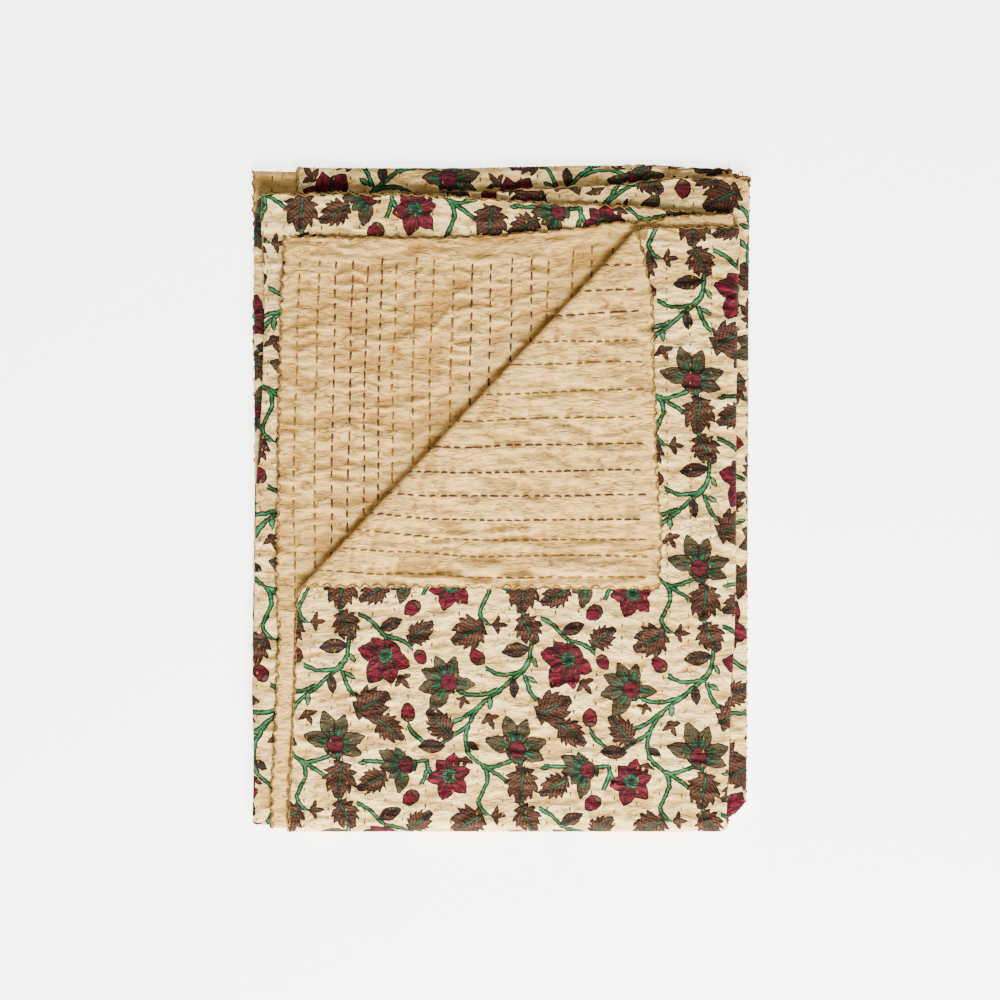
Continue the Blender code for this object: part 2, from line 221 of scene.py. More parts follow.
def rolled(distance, bend):
    """How far a bent piece has gone on, and how far it has dropped or risen."""
    turn = np.maximum(bend * distance, 1e-9)
    safe = np.maximum(bend, 1e-9)
    onward = np.where(turn > np.pi, np.pi / safe - distance, np.sin(turn) / safe)
    drop = np.where(turn > np.pi, 2 / safe, (1 - np.cos(turn)) / safe)
    flat = turn < NO_BEND
    return np.where(flat, distance, onward), np.where(flat, 0.0, drop)


def turn_back(x, y, z):
    """Roll the corner of the cover beyond the crease up and over."""
    crease = CREASE_POINT - CREASE_OUT * (CREASE_RADIUS + HALF)
    beyond = (x - crease[0]) * CREASE_OUT[0] + (y - crease[1]) * CREASE_OUT[1]
    past = np.maximum(beyond, 0)
    onward, rise = rolled(past, 1 / CREASE_RADIUS + 0 * past)
    roll = np.pi * CREASE_RADIUS
    rise = blend(rise, FLAP_LEVEL, smooth(past, roll, roll + FLAP_SETTLES))
    back = np.where(beyond > 0, onward - past, 0.0)
    return x + CREASE_OUT[0] * back, y + CREASE_OUT[1] * back, z + np.where(beyond > 0, rise, 0.0)


def settle(x, y, z):
    """The packet's lift at its open end, its slumped sides and its soft waves."""
    lift = end_at("lift", x) * smooth(y, *LIFT_RAMP)
    height = np.maximum(z - HALF, 0)
    slump = SLUMP * smooth(np.abs(x), SLUMP_FROM, SLUMP_TO)
    ripple = np.sin(0.031 * x + 0.009 * y) + np.sin(0.017 * x - 0.023 * y + 1.3)
    return x, y, z + lift - slump * height + WAVE * ripple * height / (8 * PITCH)


def fold_piece(index, stage, share, down_share):
    name = STAGES[stage][0]
    if name == "upper":
        end = at_end(index, share, end_at)
        y = blend(end, FOLD_Y, down_share)
        x, level = across(index, share, lambda which: side(which, "upper", y))
        z = MIDDLE_Z + level
        return settle(*(turn_back(x, y, z) if index == 0 else (x, y, z)))
    if name == "fold":
        mix = smooth(down_share, 0, 1)
        x, level = across(index, share, lambda which: blend(
            side(which, "upper", FOLD_Y), side(which, "lower", FOLD_Y), mix))
        angle = np.pi * down_share
        return settle(x, FOLD_Y - level * np.sin(angle), MIDDLE_Z + level * np.cos(angle))
    crease = at_end(index, share, lower_end)
    if name == "lower":
        y = blend(FOLD_Y, crease, down_share)
        x, level = across(index, share, lambda which: side(which, "lower", y))
        return settle(x, y, MIDDLE_Z - level)
    depth, bend = at_end(index, share, tuck_depth), at_end(index, share, tuck_bend)
    distance = down_share * depth
    onward, drop = rolled(distance, bend)
    x, level = across(index, share, lambda which: side(which, "lower", crease + distance))
    return settle(x, crease + onward, MIDDLE_Z - level - drop)


def fold(along, down):
    """Middle of the quilt, folded, at points of the flat quilt."""
    along, down = np.broadcast_arrays(np.asarray(along, float), np.asarray(down, float))
    place = np.zeros(along.shape + (3,))
    run = np.clip(np.searchsorted(RUN_ENDS, along, "right") - 1, 0, len(RUNS) - 1)
    stage = np.clip(np.searchsorted(STAGE_ENDS, down, "right") - 1, 0, len(STAGES) - 1)
    for index in np.unique(run):
        for level in np.unique(stage):
            here = (run == index) & (stage == level)
            if here.any():
                share = np.clip((along[here] - RUN_ENDS[index]) / RUNS[index][1], 0, 1)
                down_share = np.clip((down[here] - STAGE_ENDS[level]) / STAGES[level][1], 0, 1)
                place[here] = np.stack(fold_piece(index, level, share, down_share), axis=-1)
    return place - CENTRE


# ---------------------------------------------------------------- quilting, puckers and soft waves
NOISE_SIZE = 128
NOISE = rng.uniform(-1, 1, (8, NOISE_SIZE, NOISE_SIZE))


def noise(x, y, layer):
    """Smooth noise from -1 to 1 with bumps about one unit wide."""
    x, y = np.broadcast_arrays(np.asarray(x, float), np.asarray(y, float))
    i, j = np.floor(x).astype(int), np.floor(y).astype(int)
    u, v = x - i, y - j
    u, v = u * u * (3 - 2 * u), v * v * (3 - 2 * v)
    i, j, k, m = i % NOISE_SIZE, j % NOISE_SIZE, (i + 1) % NOISE_SIZE, (j + 1) % NOISE_SIZE
    grid = NOISE[layer]
    return blend(blend(grid[i, j], grid[k, j], u), blend(grid[i, m], grid[k, m], u), v)


# Rows of running stitch: distance along at the top end and lower down, and the thread.
COVER_ROWS = (
    (13, 20, "m"), (38, 49, "m"), (57, 72, "m"), (80, 94, "b"), (109, 119, "b"), (138, 140, "b"),
    (168, 168, "b"), (199, 199, "m"), (230, 230, "m"), (262, 261, "m"), (288, 290, "m"),
    (319, 316, "b"), (345, 344, "b"), (373, 370, "b"), (399, 398, "b"), (425, 425, "m"),
    (452, 452, "m"), (480, 480, "m"), (504, 504, "m"),
)
SECOND_ROWS = (
    (21, "m"), (44, "m"), (64, "b"), (83, "b"), (101, "b"), (117, "b"), (133, "m"), (156, "m"),
    (176, "m"), (199, "m"), (222, "b"), (244, "b"), (268, "b"), (290, "b"), (310, "m"), (338, "m"),
    (360, "m"), (384, "m"), (402, "b"), (424, "b"), (447, "b"), (470, "b"), (494, "m"),
)
MIDDLE_PITCH = 21.5                     # of the rows between those, which hardly show
MIDDLE_MARGIN = 12
SAME_THREAD = 4                         # rows in a group of one colour


def all_rows():
    rows = list(COVER_ROWS)
    start = RUN_START["outer turn"] + MIDDLE_MARGIN
    end = LENGTH - SECOND_ROWS[-1][0] - MIDDLE_MARGIN
    count = int((end - start) / MIDDLE_PITCH)
    for step in range(count):
        at = start + (end - start) * step / count
        rows.append((at, at, "b" if (step // SAME_THREAD) % 2 else "m"))
    rows += [(LENGTH - at, LENGTH - at, thread) for at, thread in reversed(SECOND_ROWS)]
    return rows


ROWS = all_rows()
ROW_TOP = np.array([row[0] for row in ROWS], float)
ROW_LOW = np.array([row[1] for row in ROWS], float)


ROW_BENDS = (200, 420)                  # distance down, from the top place of a row to its lower one
ROW_WANDER = 1.5
GROOVE = 4.2                            # how far each side of a row the stitches pull the cloth in


def row_at(number, down):
    """Distance along of a row, as it wanders."""
    place = blend(ROW_TOP[number], ROW_LOW[number], smooth(down, *ROW_BENDS))
    return place + ROW_WANDER * noise(number * 3.7, down / 55, 0)


def row_groove(along, down):
    """1 between rows of stitch and 0 on a row."""
    near = np.clip(np.searchsorted(ROW_TOP, along), 1, len(ROWS) - 1)
    gap = np.minimum(np.abs(along - row_at(near, down)), np.abs(along - row_at(near - 1, down)))
    return 1 - np.exp(-(gap / GROOVE) ** 2)


def edge_distance(along, down):
    return np.minimum(np.minimum(along, LENGTH - along), np.minimum(down, WIDTH - down))


def bump(x, y, at, size):
    """1 at a place and falling off round it."""
    return np.exp(-((x - at[0]) / size[0]) ** 2 - ((y - at[1]) / size[1]) ** 2)


SOFT_PUCKER, BROAD_PUCKER, VALLEY = 2.0, 1.1, 1.7
BENEATH = 0.3                           # share of the relief that is left under another layer
HIGHEST, DEEPEST = 3.6, 2.4             # how far all of it may rise and sink
CORNER_LEFT, CORNER_TOP = -262, 318     # of the flap, before it was turned back
FLAP_BEGINS = (2, 48)                   # beyond the crease
DIAGONAL = 0.7071


def creases(along, down):
    """Puckers that the stitches pull up across their rows: soft ridges with sharper hollows."""
    bend = along / 25 + 0.4 * noise(along / 40, down / 60, 1)
    sway = down + 4.5 * noise(along / 21, down / 43, 2) + 1.8 * noise(along / 8.5, down / 19, 6)
    soft = noise(bend, sway / 6.4, 3)
    broad = noise(along / 52, sway / 13, 7)
    valley = 1 - np.abs(noise(bend * 0.8 + 7, sway / 8.6, 5))
    return SOFT_PUCKER * soft + BROAD_PUCKER * broad - VALLEY * np.clip(valley, 0, 1) ** 4


def covered(along, down, place):
    """Where an upper layer lies beneath another, or beneath the turned corner."""
    x, y = place[..., 0], place[..., 1]
    inside = (CREASE_POINT[0] - x) * CREASE_OUT[0] + (CREASE_POINT[1] - y) * CREASE_OUT[1]
    corner_x, corner_y = x + 2 * inside * CREASE_OUT[0], y + 2 * inside * CREASE_OUT[1]
    below_corner = (inside > 0) & (corner_x > CORNER_LEFT) & (corner_y < CORNER_TOP)
    upper = down < STAGE_ENDS[1]
    second = (along > RUN_ENDS[6]) & (inside > 8)
    beneath_second = (x > side("second_left", "upper", y) + 4) & (y < end_at("second", x) - 4)
    third = (along > RUN_ENDS[4]) & (along < RUN_ENDS[5]) & beneath_second
    return upper & (second | third | (along < RUN_ENDS[1]) & below_corner)


def turned_corner(along, down):
    """1 on the turned corner and 0 elsewhere, passing over softly behind the crease."""
    share, down_share = np.clip(along / RUN_ENDS[1], 0, 1), np.clip(down / STAGE_ENDS[1], 0, 1)
    y = blend(at_end(0, share, end_at), FOLD_Y, down_share)
    x, _ = across(0, share, lambda which: side(which, "upper", y))
    beyond = (x - CREASE_POINT[0]) * CREASE_OUT[0] + (y - CREASE_POINT[1]) * CREASE_OUT[1]
    return smooth(beyond, *FLAP_BEGINS) * (along < RUN_ENDS[1]) * (down < STAGE_ENDS[1])


def unevenness(along, down, place):
    """How far the quilt's middle rises or sinks between its folds."""
    turned = turned_corner(along, down)
    rise = (1 - 0.2 * turned) * creases(along, down)
    x, y = place[..., 0], place[..., 1]
    # ripples of the turned corner, gathered along its lower edge, and slanting ones
    sway = along + 7 * noise(down / 60, along / 45, 6) + 3 * noise(down / 24, along / 30, 1)
    wave = noise(sway / 6.5, down / 42, 7)
    lower = bump(along, down, (20, 190), (34, 260))
    rise += turned * (4.2 * lower + 2.0) * wave
    slanting = noise((along - 0.6 * down) / 12, (down + 0.5 * along) / 70, 4)
    rise += turned * (2.2 * slanting + 1.2)
    # ripples of the layer beneath, beside the crease
    from_crease, by_crease = (x - y) * DIAGONAL, (x + y) * DIAGONAL
    ripple = noise(from_crease / 11 + 2.0 * noise(x / 45, y / 45, 1), by_crease / 60, 0)
    beside = bump(x, y, (-55, 190), (70, 55)) + 0.7 * bump(x, y, (-150, 60), (60, 90))
    in_second = (along > RUN_ENDS[6]) & (down < STAGE_ENDS[1] + 20)
    rise += np.where(in_second, 2.9 * ripple * beside, 0)
    calm = blend(BENEATH, 1.0, np.clip(6 * turned, 0, 1))
    rise = np.where(covered(along, down, place), calm * rise, rise)
    return np.where(rise > 0, HIGHEST * np.tanh(rise / HIGHEST), DEEPEST * np.tanh(rise / DEEPEST))


TOP_LEVEL = 34


def broad_waves(place):
    """Slow waves of the whole packet, which grow with the height above the floor."""
    x, y, z = place[..., 0], place[..., 1], place[..., 2]
    high = np.clip(z / TOP_LEVEL, 0, 1.2)
    return high * (1.0 * noise(x / 95 + 3, y / 70 + 9, 2) + 0.8 * noise(x / 45, y / 38, 5))


EDGE_STITCH = 15.0                      # from one overcast stitch to the next
TWIST = 7.4                             # one turn of the thread along the edge
LOWEST = 1.5                            # of the quilt's middle, so that its face stays on the floor
PULL_REACH = 7.0                        # how far in from an edge its stitches pull
STEP = 0.3                              # from a point to its neighbours, to find which way it faces
SUNK = 1.2                              # how much lower a face lies that is out of sight


def pulled_in(distance, layer):
    """How far a finished edge is pulled in by its overcast stitches."""
    pull = 1 - np.abs(np.sin(np.pi * distance / EDGE_STITCH))
    slow, quick = noise(distance / 34, layer * 5.3, layer), noise(distance / 9, 3.1, layer)
    return 1.9 * pull + 1.3 * slow + 0.7 * quick


def unit(vectors):
    return vectors / np.maximum(np.linalg.norm(vectors, axis=-1, keepdims=True), 1e-9)


def lie(along, down, facing=0):
    """Middle of the quilt with its puckers, and the direction that the printed side faces.

    A cloth that faces down is out of sight: it lies calm and a little lower, clear of the other.
    """
    along, down = np.broadcast_arrays(np.asarray(along, float), np.asarray(down, float))
    left, right = np.maximum(along - STEP, 0), np.minimum(along + STEP, LENGTH)
    top, low = np.maximum(down - STEP, 0), np.minimum(down + STEP, WIDTH)
    along_way = unit(fold(right, down) - fold(left, down))
    down_way = unit(fold(along, low) - fold(along, top))
    outward = unit(np.cross(down_way, along_way))
    place = fold(along, down)
    for way, distance, run_along, layer, sign in (
            (along_way, along, down, 1, 1), (along_way, LENGTH - along, down, 2, -1),
            (down_way, down, along, 3, 1), (down_way, WIDTH - down, along, 4, -1)):
        pull = pulled_in(run_along, layer) * np.exp(-(distance / PULL_REACH) ** 2) * sign
        place = place + way * pull[..., None]
    up = np.where(outward[..., 2] >= 0, 1.0, -1.0) * smooth(np.abs(outward[..., 2]), 0.2, 0.7)
    out_of_sight = smooth(-facing * outward[..., 2], 0.5, 0.9)
    out_of_sight = out_of_sight * smooth(edge_distance(along, down), 4, 16)
    rise = up * unevenness(along, down, place) * (1 - out_of_sight)
    place = place + outward * rise[..., None]
    place[..., 2] += broad_waves(place) - SUNK * out_of_sight * smooth(place[..., 2], 4, 7)
    place[..., 2] = np.maximum(place[..., 2], LOWEST)
    return place, outward


RIM = 2.2                               # of a finished edge, over which it rounds off
PUFF, PUFF_MIDDLE = 0.5, 0.6            # of the cloth between two rows


def skin(along, down, facing):
    """Outside of the printed cloth (facing 1) or the plain one (facing -1)."""
    place, outward = lie(along, down, facing)
    near = np.clip(edge_distance(along, down) / RIM, 0, 1)
    thick = HALF * np.sqrt(1 - (1 - near) ** 2)
    puff = PUFF * (row_groove(along, down) - PUFF_MIDDLE) * smooth(near, 0.5, 1)
    return place + outward * (facing * (thick + puff))[..., None]


# ---------------------------------------------------------------- the two cloths
ALONG_ZONES = (
    ("cover-edge", 0.0, 24.0), ("cover", 24.0, 412.0), ("cover-right", 412.0, RUN_ENDS[1]),
    ("outer-turn", RUN_ENDS[1], RUN_ENDS[2]),
    ("inmost-start", RUN_ENDS[2], RUN_ENDS[2] + 36), ("inmost", RUN_ENDS[2] + 36, RUN_ENDS[3] - 28),
    ("inmost-end", RUN_ENDS[3] - 28, RUN_ENDS[3]), ("left-turn", RUN_ENDS[3], RUN_ENDS[4]),
    ("third-start", RUN_ENDS[4], RUN_ENDS[4] + 48), ("third", RUN_ENDS[4] + 48, RUN_ENDS[5]),
    ("inner-turn", RUN_ENDS[5], RUN_ENDS[6]), ("second-start", RUN_ENDS[6], RUN_ENDS[6] + 96),
    ("second", RUN_ENDS[6] + 96, LENGTH - 60), ("second-edge", LENGTH - 60, LENGTH),
)
DOWN_ZONES = (
    ("end", 0.0, 66.0), ("corner", 66.0, 430.0), ("body", 430.0, STAGE_ENDS[1]),
    ("fold", STAGE_ENDS[1], STAGE_ENDS[2]), ("under", STAGE_ENDS[2], STAGE_ENDS[3] - 70),
    ("hem", STAGE_ENDS[3] - 70, STAGE_ENDS[3]), ("tuck", STAGE_ENDS[3], STAGE_ENDS[4]),
)
HIDDEN = 20.0                           # step of a block that doesn't show
TURN_STEPS = {"outer-turn": 2.3, "left-turn": 0.8, "inner-turn": 1.3}
DOWN_STEPS = {"fold": 2.6, "tuck": 2.6, "hem": 4.5}
# Steps along and down of the blocks that show; the others are coarse.
SHOWN = {
    "printed": (
        ("cover-edge cover", "end corner", 9, 7), ("cover-edge cover", "body", 2.6, 1.8),
        ("cover-right", "end corner body", 2.6, 1.8),
        ("cover-edge cover cover-right", "fold", 2.8, 2.2),
        ("cover-edge cover cover-right", "hem", 9, 5),
        ("outer-turn", "end corner body hem", 2.3, 3), ("outer-turn", "under", 2.3, 5),
        ("inmost-start inmost-end", "under", 4, 2.8), ("inmost-start inmost-end", "hem", 4, 2.6),
        ("inmost-start", "tuck", 4, 1.3), ("inmost", "hem", 3.8, 2.4),
        ("inmost inmost-end", "tuck", 4.2, 1.3),
        ("third-start", "end corner body fold", 3.0, 2.0), ("third", "end", 3.0, 2.0),
        ("second-start second second-edge", "hem", 4, 2.4),
        ("second-start second second-edge", "tuck", 4, 2),
        ("left-turn", "end corner body", 0.8, 3.5), ("left-turn", "under hem", 1.1, 4),
        ("third-start", "hem", 6, 4), ("third", "hem", 8, 4),
    ),
    "plain": (
        ("cover-edge cover", "end corner", 2.7, 1.9), ("second second-edge", "end corner", 2.7, 1.9),
        ("second-edge", "body", 2.7, 1.9), ("second-edge", "fold", 3, 2.6), ("second", "body", 9, 7),
        ("cover-edge", "under", 5, 3), ("cover-edge cover cover-right", "hem", 5, 3),
        ("cover-edge cover cover-right", "tuck", 5, 2),
        ("third", "hem", 6, 4), ("third", "tuck", 6, 1.3), ("second", "hem", 8, 5),
        ("inmost inmost-end", "end", 9, 5), ("outer-turn", "corner body", 2.3, 8),
    ),
}


def zone_lines(cloth, along_zone, down_zone):
    """Lines of one block of the cloth, each way."""
    name, start, end = along_zone
    down_name, top, low = down_zone
    step, down_step = TURN_STEPS.get(name, HIDDEN), DOWN_STEPS.get(down_name, HIDDEN)
    for shown, downs, fine, down_fine in SHOWN[cloth]:
        if name in shown.split() and down_name in downs.split():
            step, down_step = fine, down_fine
    return (np.linspace(start, end, max(2, round((end - start) / step)) + 1),
            np.linspace(top, low, max(2, round((low - top) / down_step)) + 1))


SAME = 0.002                            # two lines closer than this are one


def cloth_grid(cloth):
    """Points and faces of a flat cloth, its blocks as fine as they show and with no gaps between.

    A face on the border of a block also takes up the points of a finer neighbour.
    """
    blocks = {(i, j): zone_lines(cloth, along_zone, down_zone)
              for i, along_zone in enumerate(ALONG_ZONES) for j, down_zone in enumerate(DOWN_ZONES)}
    numbers, points = {}, []

    def number(along, down):
        key = (round(float(along), 3), round(float(down), 3))
        if key not in numbers:
            numbers[key] = len(points)
            points.append(key)
        return numbers[key]

    def shared(i, j, other_i, other_j, way):
        lines = blocks[i, j][way]
        if (other_i, other_j) in blocks:
            lines = np.concatenate([lines, blocks[other_i, other_j][way]])
        return np.unique(np.round(lines, 3))

    def between(lines, first, last):
        return [line for line in lines if first + SAME < line < last - SAME]

    faces = []
    for (i, j), (alongs, downs) in blocks.items():
        left, right = shared(i, j, i - 1, j, 1), shared(i, j, i + 1, j, 1)
        top, low = shared(i, j, i, j - 1, 0), shared(i, j, i, j + 1, 0)
        last_a, last_d = len(alongs) - 2, len(downs) - 2
        for p, (a0, a1) in enumerate(zip(alongs, alongs[1:])):
            for q, (d0, d1) in enumerate(zip(downs, downs[1:])):
                ring = [number(a0, d0)]
                if p == 0:
                    ring += [number(a0, d) for d in between(left, d0, d1)]
                ring.append(number(a0, d1))
                if q == last_d:
                    ring += [number(a, d1) for a in between(low, a0, a1)]
                ring.append(number(a1, d1))
                if p == last_a:
                    ring += [number(a1, d) for d in between(right[::-1], d0, d1)]
                ring.append(number(a1, d0))
                if q == 0:
                    ring += [number(a, d0) for a in between(top[::-1], a0, a1)]
                faces.append(ring)
    return np.array(points), faces


def new_mesh(name, points, faces, material):
    mesh = bpy.data.meshes.new(name)
    mesh.from_pydata(points.tolist(), [], faces)
    mesh.shade_smooth()
    mesh.materials.append(material)
    piece = bpy.data.objects.new(name, mesh)
    bpy.context.scene.collection.objects.link(piece)
    return piece


def flat_map(piece, flat):
    """Map the flat cloth's two distances, in metres, on its faces."""
    layer = piece.data.uv_layers.new(name="flat")
    corners = np.zeros(len(piece.data.loops), np.int32)
    piece.data.loops.foreach_get("vertex_index", corners)
    spread = np.stack([flat[:, 0], WIDTH - flat[:, 1]], axis=1) * MM
    layer.data.foreach_set("uv", spread[corners].astype(np.float32).ravel())


def make_cloth(cloth, node, facing, material):
    """One cloth over its folds. Its points also carry how deep they lie in a hollow of the relief,
    which sets the shade painted there, and whether they are on the turned corner."""
    flat, faces = cloth_grid(cloth)
    points = skin(flat[:, 0], flat[:, 1], facing)
    if facing < 0:
        faces = [ring[::-1] for ring in faces]
    piece = new_mesh("quilt_" + node, points * MM, faces, material)
    flat_map(piece, flat)
    place = fold(flat[:, 0], flat[:, 1])
    relief = unevenness(flat[:, 0], flat[:, 1], place)
    turned = turned_corner(flat[:, 0], flat[:, 1])
    # painted shade: the deeper a point lies in a hollow, the darker and warmer the material paints it;
    # less on the turned corner
    hollow_shade = smooth(-relief, -0.3, 2.3) * (1 - 0.3 * turned)
    for name, values in {"hollow_shade": hollow_shade, "turned": 1.0 * (turned > 0)}.items():
        layer = piece.data.attributes.new(name, "FLOAT", "POINT")
        layer.data.foreach_set("value", values.astype(np.float32))
    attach(piece, "root")
    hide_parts(node)
    return piece


# ---------------------------------------------------------------- shader reckoning
class Wire:
    """One value inside a material, that can be added, multiplied, compared and mixed."""

    def __init__(self, tree, socket):
        self.tree, self.socket = tree, socket

    def make(self, kind, settings, inputs, output=0):
        node = self.tree.nodes.new(kind)
        for name, value in settings.items():
            setattr(node, name, value)
        for key, value in inputs.items():
            if isinstance(value, Wire):
                self.tree.links.new(value.socket, node.inputs[key])
            else:
                node.inputs[key].default_value = value
        return Wire(self.tree, node.outputs[output])

    def math(self, operation, *values):
        return self.make("ShaderNodeMath", {"operation": operation}, dict(enumerate(values)))

    def __add__(self, other):
        return self.math("ADD", self, other)

    def __radd__(self, other):
        return self.math("ADD", other, self)

    def __sub__(self, other):
        return self.math("SUBTRACT", self, other)

    def __rsub__(self, other):
        return self.math("SUBTRACT", other, self)

    def __mul__(self, other):
        return self.math("MULTIPLY", self, other)

    def __rmul__(self, other):
        return self.math("MULTIPLY", other, self)

    def __lt__(self, other):
        return self.math("LESS_THAN", self, other)

    def __gt__(self, other):
        return self.math("GREATER_THAN", self, other)

    def vector(self, operation, *values, output=0):
        inputs = dict(enumerate(values))
        return self.make("ShaderNodeVectorMath", {"operation": operation}, inputs, output)

    def axis(self, number):
        return self.make("ShaderNodeSeparateXYZ", {}, {0: self}, number)

    def mix(self, first, second):
        """A colour from first to second, by this value."""
        return self.make("ShaderNodeMix", {"data_type": "RGBA", "clamp_factor": True},
                         {0: self, 6: first, 7: second}, 2)

    def pick(self, first, second):
        """A vector from first to second, by this value."""
        return self.make("ShaderNodeMix", {"data_type": "VECTOR"}, {0: self, 4: first, 5: second}, 1)

    def ramp(self, low, high):
        """0 up to low and 1 from high on."""
        return self.make("ShaderNodeMapRange", {}, {0: self, 1: low, 2: high})

    def multiply_tint(self, colour, tint):
        """The colour multiplied by a tint, as far as this value says. Used for the painted shade of
        hollows.
        """
        settings = {"data_type": "RGBA", "blend_type": "MULTIPLY", "clamp_factor": True}
        return self.make("ShaderNodeMix", settings, {0: self, 6: colour, 7: tint}, 2)

    def fraction(self):
        return self.math("FRACT", self)

    def size(self):
        return self.math("ABSOLUTE", self)

    def lesser(self, other):
        return self.math("MINIMUM", self, other)

    def speckle(self, scale, detail, output=0):
        """Noise of a flat place, as a value, or with output 1 as a colour."""
        return self.make("ShaderNodeTexNoise", {"noise_dimensions": "2D"},
                         {"Vector": self, "Scale": scale, "Detail": detail}, output)

    def grain(self, scale, detail, roughness, stretch=(1, 1, 1)):
        """Rougher noise of a flat place, stretched along one way."""
        place = self.vector("MULTIPLY", self, stretch)
        return self.make("ShaderNodeTexNoise", {"noise_dimensions": "2D"},
                         {"Vector": place, "Scale": scale, "Detail": detail, "Roughness": roughness})

    def bump(self, shader, height, strength, distance):
        inputs = {"Strength": strength, "Distance": distance, "Height": height}
        bump = self.make("ShaderNodeBump", {}, inputs)
        self.tree.links.new(bump.socket, shader.inputs["Normal"])

    def paint(self, shader, colour):
        self.tree.links.new(colour.socket, shader.inputs["Base Color"])


def rgb(red, green, blue):
    """A colour given as it looks, 0 to 255, for a shader."""
    return tuple((value / 255 / 12.92) if value <= 10 else ((value / 255 + 0.055) / 1.055) ** 2.4
                 for value in (red, green, blue)) + (1.0,)


def new_material(name, roughness):
    material = bpy.data.materials.new(name)
    material.use_nodes = True
    shader = material.node_tree.nodes["Principled BSDF"]
    shader.inputs["Roughness"].default_value = roughness
    shader.inputs["Specular IOR Level"].default_value = 0.25
    return material, shader


def start(material):
    """The flat cloth's own two distances, in a material."""
    tree = material.node_tree
    flat = tree.nodes.new("ShaderNodeUVMap")
    flat.uv_map = "flat"
    return Wire(tree, flat.outputs[0])


THREADS = 420.0                         # of the weave, in bands for each metre
ACROSS_ROWS, ALONG_ROWS = (0.42, 1, 1), (1, 0.34, 1)    # how the crumples are drawn out


def of_point(flat, name):
    """A value that the cloth's points carry."""
    return flat.make("ShaderNodeAttribute", {"attribute_name": name}, {}, "Fac")


def weave(flat, shader, strength, crinkled):
    """Bump of a plain weave and of fine crumples. Gives back the slubs, and a mask of the crumples'
    hollows and crinkle lines where shade is painted into the colour.

    Crumples run across the rows of stitch, and on the turned corner along them.
    """
    ways = of_point(flat, "turned").pick(ACROSS_ROWS, ALONG_ROWS)
    threads, picks = (flat.make("ShaderNodeTexWave", {"bands_direction": way},
                                {"Vector": flat, "Scale": THREADS, "Distortion": 0.6})
                      for way in "XY")
    slubs = flat.grain(900.0, 2.0, 0.6, (1, 0.25, 1))
    crumple = flat.grain(118.0, 4.0, 0.62, ways)
    line = flat.grain(74.0, 2.5, 0.55, ways) - 0.5
    broken = flat.grain(60.0, 1.0, 0.5, (0.6, 1, 1)).ramp(0.44, 0.54)
    line = (1 - line.size().ramp(0.0, 0.04)) * broken * crinkled
    height = threads * 0.03 + picks * 0.03 + slubs * 0.09 + crumple * (3.6 * crinkled) - line * 0.6
    flat.bump(shader, height, strength, MM)
    # mask for painted shade: crumple hollows and crinkle lines, darkened in colour besides the bump
    return slubs, crumple.ramp(0.5, 0.3) * (0.6 * crinkled) + line * 0.9


HOLLOW_SHADE = (0.6, 0.49, 0.35, 1.0)         # painted shade of the hollows: a warm brown that the colour is multiplied by


def painted_hollow_shade(colour, flat, crumples):
    """Painted shade: hollows of the relief and of the crumples, and the crinkle lines, take a warmer,
    deeper colour.
    """
    return (of_point(flat, "hollow_shade") * 0.85 + crumples * 0.8).multiply_tint(colour, HOLLOW_SHADE)


BEIGE, BEIGE_LIGHT = rgb(218, 178, 100), rgb(231, 193, 116)
STREAK, SLUB = rgb(210, 168, 98), rgb(190, 146, 84)
MOTTLE_PINK, MOTTLE_GREY = rgb(236, 184, 128), rgb(198, 172, 104)


def plain_material():
    """Undyed cotton: cloudy, streaked along its threads, mottled pink and grey, with slubs."""
    material, shader = new_material("plain_cotton", 0.92)
    flat = start(material)
    slubs, crumples = weave(flat, shader, 0.9, 1.3)
    cloud, mottle = flat.grain(9.0, 4.0, 0.6), flat.grain(75.0, 3.0, 0.6)
    streak = flat.grain(46.0, 3.0, 0.6, (1.0, 0.12, 1))
    colour = cloud.ramp(0.35, 0.68).mix(BEIGE, BEIGE_LIGHT)
    for much, tint in ((streak.ramp(0.4, 0.75) * 0.35, STREAK),
                       (mottle.ramp(0.52, 0.72) * 0.4, MOTTLE_PINK),
                       (mottle.ramp(0.48, 0.3) * 0.4, MOTTLE_GREY),
                       (slubs.ramp(0.5, 0.8) * 0.4, SLUB)):
        colour = much.mix(colour, tint)
    # with shade painted into the hollows and crumples
    flat.paint(shader, painted_hollow_shade(colour, flat, crumples))
    return material


# ---------------------------------------------------------------- the print, one repeat charted
# Places are in millimetres from one corner of the repeat, x across and y down; angles are degrees
# from x towards y. A motif is (x, y, angle that it points at, half its length).
REPEAT = (212.5, 214.8)
PRINT_SCALE = (0.958, 0.9775)           # the cloth is drawn in a little by its quilting
PRINT_START = (-173.7, -427.8)
PRINT_SLANT, SLANT_FROM = (0.035, 0.03), 115            # the repeat isn't quite square
SHAKE = 2.4                             # of the printer's hand, from side to side
BROAD_LEAVES = ((33, 39, 151, 24), (101, 33, 60, 20), (130, 123, 332, 25), (95, 208, 98, 24))
TOOTHED_LEAVES = ((187, 41, 321, 20), (134, 210, 152, 21.5), (151, 149, 37, 23), (212, 145, 228, 23))
SMOOTH_LEAVES = ((87, 58, 172, 17.5), (153, 32, 335, 15.5), (202, 169, 0, 16.5), (85, 101, 85, 12),
                 (37, 167, 30, 9.5))
LOBED_LEAVES = ((64, 30, 0, 14), (26, 115, 110, 12), (56, 135, 65, 15), (29, 183, 100, 12),
                (166, 93, 50, 15.5))
BUDS = ((43, 68, 225, 12.5), (179, 12, 141, 13), (188, 67, 60, 11), (174, 133, 270, 13))
SPRIGS = ((109, 71, 60, 7.5), (106, 91, 30, 8), (57, 118, 90, 9), (148, 48, 75, 6), (121, 190, 180, 6))
